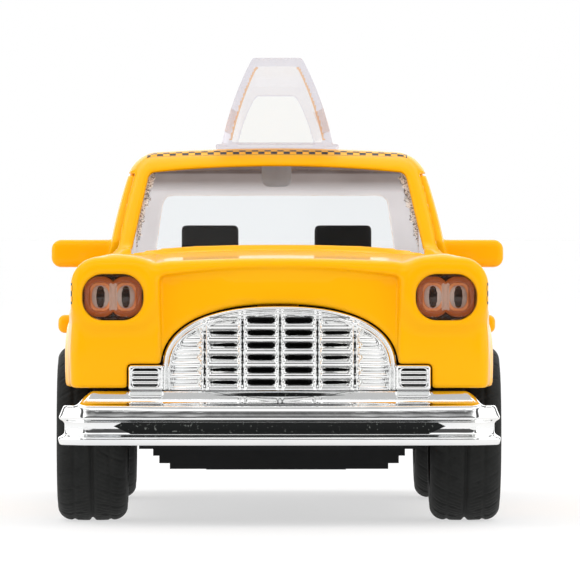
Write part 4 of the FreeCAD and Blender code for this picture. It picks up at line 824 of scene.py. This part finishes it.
def grille_recess_shade(x, y, z):
    """Where shade is painted black: the floors of the grille's slots, the seams at its uprights and the
    floors of the lamps' ribs.
    """
    slots = (abs(x) < 12.9) & (y - grille_face(x) > 0.95) & (y < -57.5) & (z > 15.5)
    seams = (from_upright(x) < 0.055) & (z > 15.9) & (y < -60) & (z < 23.6 - 0.03 * x**2)
    lamps = (abs(abs(x) - PARK_X) < 1.36) & (abs(z - PARK_Z) < 0.96)
    return slots | seams | lamps & (y > -60.9) & (y < -60.3)


def grille_louvre_shade(x, y, z):
    """Painted shade: a darker, duller band at the upper edge of each louvre."""
    louvre = (abs(from_slot(z) - 0.33) < 0.09) & (from_upright(x) > 0.55)
    return louvre & (abs(x) < 8) & (z < 23.9)


grille = skin("grille_chrome", grille_field, (-17.2, -62.1, 15.0), (17.2, -57.2, 25.0), 0.09)
place(grille, CHROME, "front_grille")
# painted shade on a band of each louvre
repaint(grille, CHROME_PAINTED_SHADE, grille_louvre_shade)
# painted shade: black on the floors of the slots, the seams and the lamps' ribs
repaint(grille, RECESS_PAINTED_SHADE, grille_recess_shade)

# ---- bumpers ----

BUMPER_HALF = [(8, 63.5), (22.3, 62.95), (25, 60.6), (25, 54)]
BUMPER_PLAN = [(-x, y) for x, y in BUMPER_HALF[::-1]] + BUMPER_HALF
SHELF_FOOT, SHELF_FRONT, SHELF_DEPTH = 13.15, 62.7, 2.1


def bumper_field(x, y, z, shelf_top):
    """A wrap-round bumper, y measured outwards: two flanges with a groove between, and a dished shelf."""
    plan = outline(x, y, BUMPER_PLAN, 2.4)
    tilt = 0.41 * over(z - 11.7) + 0.3 * over(10.15 - z)
    bar = both((plan + tilt) * 0.93, span(z, 9.1, 13.55), 0.14)
    bar = less(bar, plan + 2.2 - 0.5 * bump(z, 11, 1.2), 0.2)
    channel = both(span(z, 10.3, 11.72) - 0.35 * ramp(-0.9, 0, plan), -(plan + 0.85), 0.3)
    bar = both(less(bar, channel, 0.22), 56.0 - y, 0.5)
    t = np.clip((SHELF_FRONT - y) / SHELF_DEPTH, 0, 1)
    top = SHELF_FOOT + (shelf_top - SHELF_FOOT) * t * (0.5 + 0.5 * t)
    shelf = both(both((z - top) * 0.7, 12.3 - z), both(57.6 - y, plan + 0.5), 0.2)
    shelf = both(shelf, abs(x) - 21.3 - 0.9 * (15.2 - z), 0.5)
    return either(bar, shelf, 0.3)


for name, way, shelf_top in (("front", -1, 15.15), ("rear", 1, 13.35)):
    bumper = skin(
        f"bumper_chrome_{name}",
        lambda x, y, z: bumper_field(x, way * y, z, shelf_top),
        (0, -63.8 if way < 0 else 55.6, 8.9),
        (25.3, -55.6 if way < 0 else 63.8, 15.6),
        0.16,
        mirrored=True,
        thin=0.002,
    )
    place(bumper, CHROME_BUMPER_PAINTED_SHADE, f"{name}_bumper")

# ---- headlamps and tail lamps ----


def lens_field(u, y, v):
    """Twin clear lenses in one moulding; u and v are measured from its middle."""
    ring = np.sqrt((abs(u) - 1.4) ** 2 + v**2)
    face = -60.0 - 0.3 * bump(ring, 1.82, 0.3) - 0.32 * np.sqrt(over(1.25**2 - ring**2))
    pair = both(both(ring - 2.26, face - y, 0.15), y + 59.2)
    plate = both(slab(u, v, (0, 0), (3.38, 2.52), 2.3), span(y, -59.5, -58.65), 0.1)
    return np.minimum(pair, plate)


LAMP_GAP = 1.45  # from a lamp's middle to the middle of each dome


def lamp_ring(u, v):
    """The tall rounded outline round each of a headlamp's two domes."""
    return slab(abs(u), v, (LAMP_GAP, 0), (1.82, 2.32), 1.6)


def dome_reach(u, v):
    """1 at the foot of each dome, 0 at its top."""
    return (abs((abs(u) - LAMP_GAP) / 0.98) ** 2.4 + abs(v / 1.3) ** 2.4) ** (1 / 2.4)


def pupil(u, v):
    """Below 1 on the tall middle of each dome, where a dark reflection is painted."""
    return abs((abs(u) - LAMP_GAP + 0.03) / 0.46) ** 2.5 + abs(v / 1.22) ** 2.5


def reflector_field(u, y, v):
    """Twin domes, each in a raised ring, on a plate; the plate is painted dark as shade."""
    plate = both(slab(u, v, (0, 0), (3.38, 2.52), 2.3), span(y, -57.75, -56.95), 0.1)
    ring = lamp_ring(u, v)
    collar = both(both(ring, -0.62 - ring, 0.2), span(y, -58.25, -57.2), 0.2)
    dome = (np.sqrt(dome_reach(u, v) ** 2 + ((y + 57.75) / 0.85) ** 2) - 1) * 0.8
    return merge(plate, collar, dome)


LAMP_PARTS = (
    ("lens", lens_field, -60.9, -58.3, "lamp_clear", LAMP_CLEAR),
    ("reflector", reflector_field, -58.8, -56.7, "chrome", CHROME),
)
# painted light and shade on the chrome reflector, zone by zone
BOWL_PAINT = (
    (BOWL_PAINTED_SHADE, lambda u, y, v: lamp_ring(u, v) > -0.05),
    (BOWL_BROWN_PAINTED_GLOW, lambda u, y, v: abs(lamp_ring(u, v) + 0.4) < 0.36),
    (BOWL_PAINTED_HIGHLIGHT, lambda u, y, v: (lamp_ring(u, v) < -0.72) & (dome_reach(u, v) > 1.02)),
    (BOWL_PAINTED_REFLECTION, lambda u, y, v: dome_reach(u, v) < 1.0),
    (BOWL_PAINTED_GLOW, lambda u, y, v: (abs(u) < 0.46) & (abs(v) < 1.5) & (y < -57.6)),
    (BOWL_PAINTED_SHADE, lambda u, y, v: (pupil(u, v) < 1) & (y < -57.85)),
)
TAIL_RIB = 0.7


def tail_field(u, y, v):
    """A ribbed red lens."""
    face = 62.0 - 0.12 * np.cos(v * 2 * math.pi / TAIL_RIB)
    block = both(slab(u, v, (0, 0), (2.75, 2.45), 0.5), y - face, 0.25)
    return both(block, 59.4 - y)


for hand, sign in (("left", 1), ("right", -1)):
    middle, tail_middle = sign * LAMP[0], sign * TAIL_LAMP[0]
    for part, field, y_low, y_high, slot, material in LAMP_PARTS:
        lamp = skin(
            f"headlamp_{part}_{hand}",
            lambda x, y, z: field(x - middle, y, z - LAMP[1]),
            (middle - 3.7, y_low, 22.9),
            (middle + 3.7, y_high, 28.5),
            0.1,
        )
        place(lamp, material, f"headlight_{part}_{hand}")
    for material, zone in BOWL_PAINT:
        repaint(lamp, material, lambda x, y, z: zone(x - middle, y, z - LAMP[1]))
    tail = skin(
        f"tail_lens_{hand}",
        lambda x, y, z: tail_field(x - tail_middle, y, z - TAIL_LAMP[1]),
        (tail_middle - 3, 59.2, 17.3),
        (tail_middle + 3, 62.3, 22.7),
        0.13,
    )
    place(tail, LAMP_RED, f"tail_light_{hand}")
    repaint(tail, AMBER, lambda x, y, z: z > 21.2)

# ---- glazing, sign and interior ----


def glass_field(x, y, z):
    """The clear moulding under the roof, left out behind the front doors."""
    form = cabin_form(x, y, z)
    sheet = np.maximum(form + WALL + 0.1, -(form + WALL + 0.75))
    sheet = np.maximum(sheet, 30.1 - z)
    door_room = both(both(span(y, -24.5, 4.3), 16.6 - x), z - 39.9)
    sheet = less(sheet, door_room, 0.1)
    return less(sheet, both(disc(x, y, ROOF_PEG, 2.0), 37 - z))


SIGN_Y, SIGN_FOOT, SIGN_WALL = (-12, 22), 43.55, 1.12
PRINT_Y, PRINT_Z, PRINT_SQUARE = (-11.8, 21.8), (44.9, 47.7), 1.4


def sign_shape(x, y, z, wall=SIGN_WALL):
    """The room in the tent, or the tent's outside for wall 0."""
    along = (y - SIGN_Y[0]) / (SIGN_Y[1] - SIGN_Y[0])
    share = 1 - 0.1 * along
    top = 53.65 - 2.9 * along
    t = np.clip((z - SIGN_FOOT) / (top - SIGN_FOOT), -0.3, 1.2)
    half = 6.56 * share * (1 - t) + 2.9 * t + 1.5 * t * (1 - t) + 0.35 * t * t * (1 - t)
    flank = (x - half + wall) * 0.93
    return both(flank, z - top + wall * 0.95, 0.25 if wall == 0 else 0.5)


def sign_field(x, y, z):
    """The clear tent with its flange and peg."""
    tent = both(sign_shape(x, y, z, 0), span(y, *SIGN_Y), 0.15)
    tent = both(tent, 43.2 - z)
    room = both(sign_shape(x, y, z), 43.6 - z, 0.3)
    tent = less(tent, both(room, y - 21, 0.3), 0.12)
    flange = brick(x, y, z, (-7.3, -12.8, 42.5), (7.3, 22.8, 43.42), 0.22)
    flange = less(flange, z - 43.06 + roof_drop(x, y))
    peg = both(disc(x, y, ROOF_PEG, 1.8), span(z, 38.45, 43.3), 0.9)
    return merge(tent, flange, peg)


def printed(x, y, z):
    """Every second square of two rows of checks on the tent's outside."""
    rows = (span(z, *PRINT_Z) < 0) & (span(y, *PRINT_Y) < 0)
    count = np.floor((y - PRINT_Y[0]) / PRINT_SQUARE) + np.floor((z - PRINT_Z[0]) / PRINT_SQUARE)
    return rows & (count % 2 == 0) & (sign_shape(x, y, z, 0) > -0.12)


# x is the distance from the middle
SIGN_PAINT = (
    (SIGN_WARM, lambda x, y, z: (z > 43.65) & (sign_shape(x, y, z) < 0.14) & (y > -11.9) & (y < 20.8)),
    # painted reflection: an orange tint along the tent's front inner edges
    (SIGN_EDGE_PAINTED_REFLECTION, lambda x, y, z: (z > 43.8) & (abs(sign_shape(x, y, z)) < 0.22) & (y < -11.2) & (x > 2.3)),
    (SIGN_PEG, lambda x, y, z: (z < 42.4) & (x < 2)),
    (SIGN_BACK, lambda x, y, z: (z > 43.5) & (sign_shape(x, y, z) < -0.1) & (y > 20.8)),
    (SIGN_PRINT, printed),
)


glass = skin("cabin_glass", glass_field, (0, -21.6, 29.8), (18.6, 37.2, 42.0), 0.24, True, 0.002)
place(glass, GLAZING, "cabin_glazing")
repaint(
    glass,
    GLASS_EDGE,
    lambda x, y, z: (y < -8) & (z > 31) & (abs(abs(x) - 16.75 + 0.23 * (z - 32)) < 0.42),
)
sign_piece = skin("sign_tent", sign_field, (0, -13, 38.2), (7.5, 23, 53.9), 0.18, mirrored=True)
place(sign_piece, SIGN_CLEAR, "roof_sign")
for material, zone in SIGN_PAINT:
    repaint(sign_piece, material, lambda x, y, z: zone(abs(x), y, z))

SEAT_X, PLEAT, BENCH_PLEAT = 8, 1.6, 2.4
WHEEL_TILT = math.radians(55)


def seat_field(u, y, z):
    """A front seat with pleats and a narrow headrest; u is measured from its middle."""
    pleats = 0.16 * bump(abs(u % PLEAT - PLEAT / 2), 0, 0.16) * (abs(u) < 5)
    cushion = brick(u, y, z, (-6.4, -6.5, 14.2), (6.4, 4.0, 21.0), 1.0) + pleats * ramp(20.4, 20.9, z)
    lean = y - 0.06 * (z - 14.5)
    back = brick(u, lean, z, (-6.3, 1.6, 14.2), (6.3, 5.0, 29.2), 1.0)
    back = back + pleats * (1 - ramp(1.8, 2.2, lean))
    rest = brick(u, y, z, (-3.42, 2.95, 28.0), (3.42, 5.75, 33.8), 0.55)
    return either(np.minimum(cushion, back), rest, 0.3)


BENCH_BACK = [(27.4, 23.2), (29.3, 29.8), (31.4, 29.8), (31.4, 23.2)]
DASHBOARD = [(-19, 28.6), (-17, 29.2), (-14.6, 27.8), (-14.6, 25), (-17.4, 24)]


def tub_field(x, y, z):
    """Floor, seats, bench, dashboard and wheel in one black moulding."""
    side = abs(x)
    floor = brick(side, y, z, (-30, -19, 13.3), (21.2, 9, 14.5), 0.2)
    riser = brick(side, y, z, (-30, 8, 13.3), (21.2, 9.6, 24.4), 0.2)
    bench = brick(side, y, z, (-30, 8, 23.2), (21.2, 31, 25.6), 0.7)
    pleats = 0.15 * bump(abs(side % BENCH_PLEAT - BENCH_PLEAT / 2), 0, 0.18)
    bench = bench + pleats * ramp(25.1, 25.5, z) * (side < 17)
    back = both(outline(y, z, BENCH_BACK, 0.4), side - 18.2, 0.4)
    bulkhead = brick(side, y, z, (-30, -19, 13.3), (30, -17.4, 27), 0.1)
    dashboard = merge(outline(y, z, DASHBOARD, 0.5), bulkhead)
    radio = slab(x, z, (0, 26.4), (2.4, 0.8), 0.2)
    dials = merge(disc(x, z, (6.6, 26.5), 0.9), disc(x, z, (9.4, 26.5), 0.9), radio)
    dashboard = less(dashboard, both(dials, span(y, -14.9, -14.0)), 0.08)
    dashboard = both(dashboard, side - 19.35, 0.3)
    # the steering wheel leans towards the driver
    u, c, s = x - SEAT_X, math.cos(WHEEL_TILT), math.sin(WHEEL_TILT)
    v = (y + 12.2) * c - (z - 27.4) * s
    w = (y + 12.2) * s + (z - 27.4) * c
    reach = np.sqrt(u**2 + v**2)
    ring = np.sqrt((reach - 3.1) ** 2 + w**2) - 0.4
    column = both(reach - 0.65, span(w, -3.8, 0.35), 0.1)
    boss = both(reach - 0.95, span(w, -0.3, 0.45), 0.15)
    across = brick(u, v, w, (-3.1, -0.3, -0.2), (3.1, 0.3, 0.2), 0.1)
    upright = brick(u, v, w, (-0.3, 0, -0.2), (0.3, 3.1, 0.2), 0.1)
    seats = seat_field(side - SEAT_X, y, z)
    return merge(floor, riser, bench, back, dashboard, seats, ring, column, boss, across, upright)


tub = skin("interior_moulding", tub_field, (-21.4, -19.2, 13.1), (21.4, 31.6, 34.0), 0.24, thin=0.002)
place(tub, SEAT_BLACK, "interior_tub")

# ---- wheels ----

TYRE_MIDDLE = 21.25
BLOCKS, SIPES, HUB_HOLES = 26, 50, 10


def tyre_field(x, y, z):
    """A tyre about the X axis, x measured outwards, with a centre groove, blocks and fine sipes."""
    reach = np.sqrt(y**2 + z**2)
    turn = np.arctan2(z, y)
    across = x - TYRE_MIDDLE
    crown = reach + 0.011 * across**2
    ring = slab(x, crown, (TYRE_MIDDLE, 7.0), (4.02, 3.0), 1.55)
    tread = ramp(9.1, 9.7, reach)
    centre = 0.42 * bump(across, 0, 0.22)
    side = abs(across)
    wave = turn * BLOCKS + np.sign(across) * 2.3 + side * 1.2
    block = 0.2 * bump(np.sin(wave / 2), 0, 0.14) * ramp(0.9, 1.2, side)
    sipe = 0.1 * bump(np.sin(turn * SIPES + side * 2.6), 0, 0.3)
    sipe = sipe * (1 - ramp(3.1, 3.6, side)) * ramp(0.3, 0.6, side)
    rib = 0.18 * bump(side, 2.05, 0.16)
    ring = ring + tread * np.maximum(np.maximum(centre, rib), np.maximum(block, sipe))
    bead = 0.25 * bump(reach, 8.35, 0.16) * ramp(3.2, 3.8, side)
    return less(ring + bead, reach - 6.2, 0.1)


def hub_field(x, y, z):
    """A chromed wheel about the X axis, x measured outwards: rolled rim, dish, ten holes and a cap."""
    reach = np.sqrt(y**2 + z**2)
    turn = np.arctan2(z, y)
    face = 24.75 - 1.3 * ramp(5.75, 5.2, reach) + 0.85 * ramp(4.4, 2.7, reach)
    face = face + 0.6 * np.sqrt(over(1 - (reach / 2.1) ** 2)) - 0.25 * bump(reach, 2.35, 0.2)
    plate = both((x - np.minimum(face, 24.95)) * 0.7, reach - 6.12, 0.25)
    plate = both(plate, 17.6 - x, 0.2)
    back_room = both(both(reach - 5.3, x - 22.2, 0.3), 2.0 - reach, 0.2)
    plate = less(plate, back_room, 0.2)
    share = turn * HUB_HOLES / (2 * math.pi)
    off = abs(share - np.round(share)) * (2 * math.pi / HUB_HOLES)
    hole = np.sqrt((reach - 4.55) ** 2 + (off * reach) ** 2) - 0.52
    return less(plate, hole, 0.15)


tyre = skin("tyre_shape", tyre_field, (16.9, -10.3, -10.3), (25.6, 10.3, 10.3), 0.17, thin=0.002)
hub = skin("hub_shape", hub_field, (17.3, -6.5, -6.5), (25.2, 6.5, 6.5), 0.15, thin=0.002)
kinds = (("tyre", tyre.data, RUBBER), ("hub", hub.data, CHROME_SOFT))
for spare in (tyre, hub):
    bpy.data.objects.remove(spare)
for end, along in (("front", FRONT_AXLE_Y), ("rear", REAR_AXLE_Y)):
    for hand, sign in (("left", 1), ("right", -1)):
        for kind, shape, material in kinds:
            name = f"{kind}_{end}_{hand}"
            wheel = bpy.data.objects.new(f"wheel_{name}", shape)
            scene.collection.objects.link(wheel)
            wheel.location = (0, along * MM, AXLE_Z * MM)
            if sign < 0:  # the right-hand side is the same mesh turned half round
                wheel.rotation_euler = (0, 0, math.pi)
            bpy.context.view_layer.update()
            place(wheel, material, name, f"{end}_wheels")

# ---- carried-over CAD nodes ----

CARRIED = (
    (STEEL, ["hinge_pin_left", "hinge_pin_right", "chassis_screws", "motor_screws"]),
    (STEEL, ["front_axle", "rear_axle", "idler_spindle", "flywheel_spindle"]),
    (BASE_BLACK, ["chassis"]),
    (GEAR_WHITE, ["axle_gear", "idler_gear"]),
    (ZINC, ["flywheel"]),
    (BRASS, ["flywheel_pinion"]),
    (MOTOR_BLACK, ["motor_housing_left", "motor_housing_right"]),
)
for material, names in CARRIED:
    for node_name in names:
        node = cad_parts[node_name]
        node.data.materials.clear()
        node.data.materials.append(material)

# ---- studio ----

FLOOR_FAR, FLOOR_NEAR = 30.0, -1.5
TENT_WHITE, TENT_DARKENED = 1.76, 1.68


def studio():
    """A white floor, a soft tent and two large lights."""
    mesh = bpy.data.meshes.new("floor")
    points = [(-FLOOR_FAR, FLOOR_NEAR, 0), (FLOOR_FAR, FLOOR_NEAR, 0)]
    points += [(FLOOR_FAR, FLOOR_FAR, 0), (-FLOOR_FAR, FLOOR_FAR, 0)]
    mesh.from_pydata(points, [], [(0, 1, 2, 3)])
    floor = bpy.data.objects.new("floor", mesh)
    scene.collection.objects.link(floor)
    nodes = Nodes("floor_white")
    nodes.into(Base_Color=nodes.mix(nodes.noise(3, 2), (0.31, 0.31, 0.31, 1), (0.33, 0.33, 0.33, 1)))
    nodes.set(Roughness=0.8, Specular_IOR_Level=0.1, Emission_Color=WHITE, Emission_Strength=0.6)
    mesh.materials.append(nodes.material)
    tent()
    softbox("overhead", (1.4, 1.2), 5.2, (-0.15, 0.35, 1.3))
    softbox("front", (0.9, 0.45), 2.9, (0.05, -1.1, 0.42)).visible_glossy = False
    scene.view_settings.view_transform = "Standard"
    scene.view_settings.look = "None"
    scene.view_settings.exposure = 0.0


def softbox(name, sides, watts, place_at):
    """A rectangular light aimed at the car."""
    light = bpy.data.lights.new(name, "AREA")
    light.shape = "RECTANGLE"
    light.size, light.size_y = sides
    light.energy = watts
    lamp = bpy.data.objects.new(name, light)
    scene.collection.objects.link(lamp)
    aim(lamp, place_at, (0, 0, 0.02))
    return lamp


def tent():
    """The world: white to look at, with soft darker bands in what it lights and what chrome reflects."""
    scene.world = bpy.data.worlds.new("tent")
    nodes = Nodes("tent", scene.world, "Background").set(Color=WHITE)
    apart = nodes.tree.nodes.new("ShaderNodeSeparateXYZ")
    nodes.link(nodes.coordinates.outputs["Generated"], apart.inputs[0])
    x, y, height = apart.outputs
    across = nodes.math("ABSOLUTE", x)

    def band(value, rise, fall, top=1.0):
        """Dark between two soft edges."""
        up = nodes.spread(value, *rise, 0.0, top, smooth=True)
        return nodes.math("MINIMUM", up, nodes.spread(value, *fall, 1.0, 0.0, smooth=True))

    above = band(height, (0.5, 0.56), (0.6, 0.66), 0.8)
    beside = band(across, (0.5, 0.6), (0.72, 0.85))
    beside = nodes.times(beside, nodes.spread(height, 0.5, 0.7, 1.0, 0.0, smooth=True))
    ahead = nodes.spread(y, -0.9, -0.76, 1.0, 0.0, smooth=True)
    zenith = nodes.spread(height, 0.75, 0.9, 0.0, 0.7, smooth=True)
    dark = nodes.most(above, beside, ahead, zenith)
    strength = nodes.math("SUBTRACT", TENT_WHITE, nodes.times(dark, TENT_DARKENED))
    seen = nodes.tree.nodes.new("ShaderNodeLightPath").outputs["Is Camera Ray"]
    strength = nodes.times(strength, nodes.math("SUBTRACT", 1.0, seen))
    nodes.into(Strength=nodes.most(strength, seen))


def aim(thing, place_at, target):
    """Puts a thing somewhere and points its -Z at a target."""
    away = Vector(target) - Vector(place_at)
    thing.location = place_at
    thing.rotation_euler = away.to_track_quat("-Z", "Y").to_euler()


studio()

SENSOR, IMAGE, FOCAL_PX = 36.0, 580, 7857.0
CAMERA_AT = (-0.005, -0.942, 0.033)
ACROSS_PX, DOWN_PX = 55.0, 58  # how far the view is turned to the right and tipped down
camera_data = bpy.data.cameras.new("camera")
camera_data.sensor_width = SENSOR
camera_data.lens = FOCAL_PX * SENSOR / IMAGE
camera_data.clip_start = 0.05
camera = bpy.data.objects.new("camera", camera_data)
scene.collection.objects.link(camera)
camera.location = CAMERA_AT
pitch, yaw = math.atan2(DOWN_PX, FOCAL_PX), math.atan2(ACROSS_PX, FOCAL_PX)
camera.rotation_euler = (math.pi / 2 - pitch, 0, -yaw)
scene.camera = camera
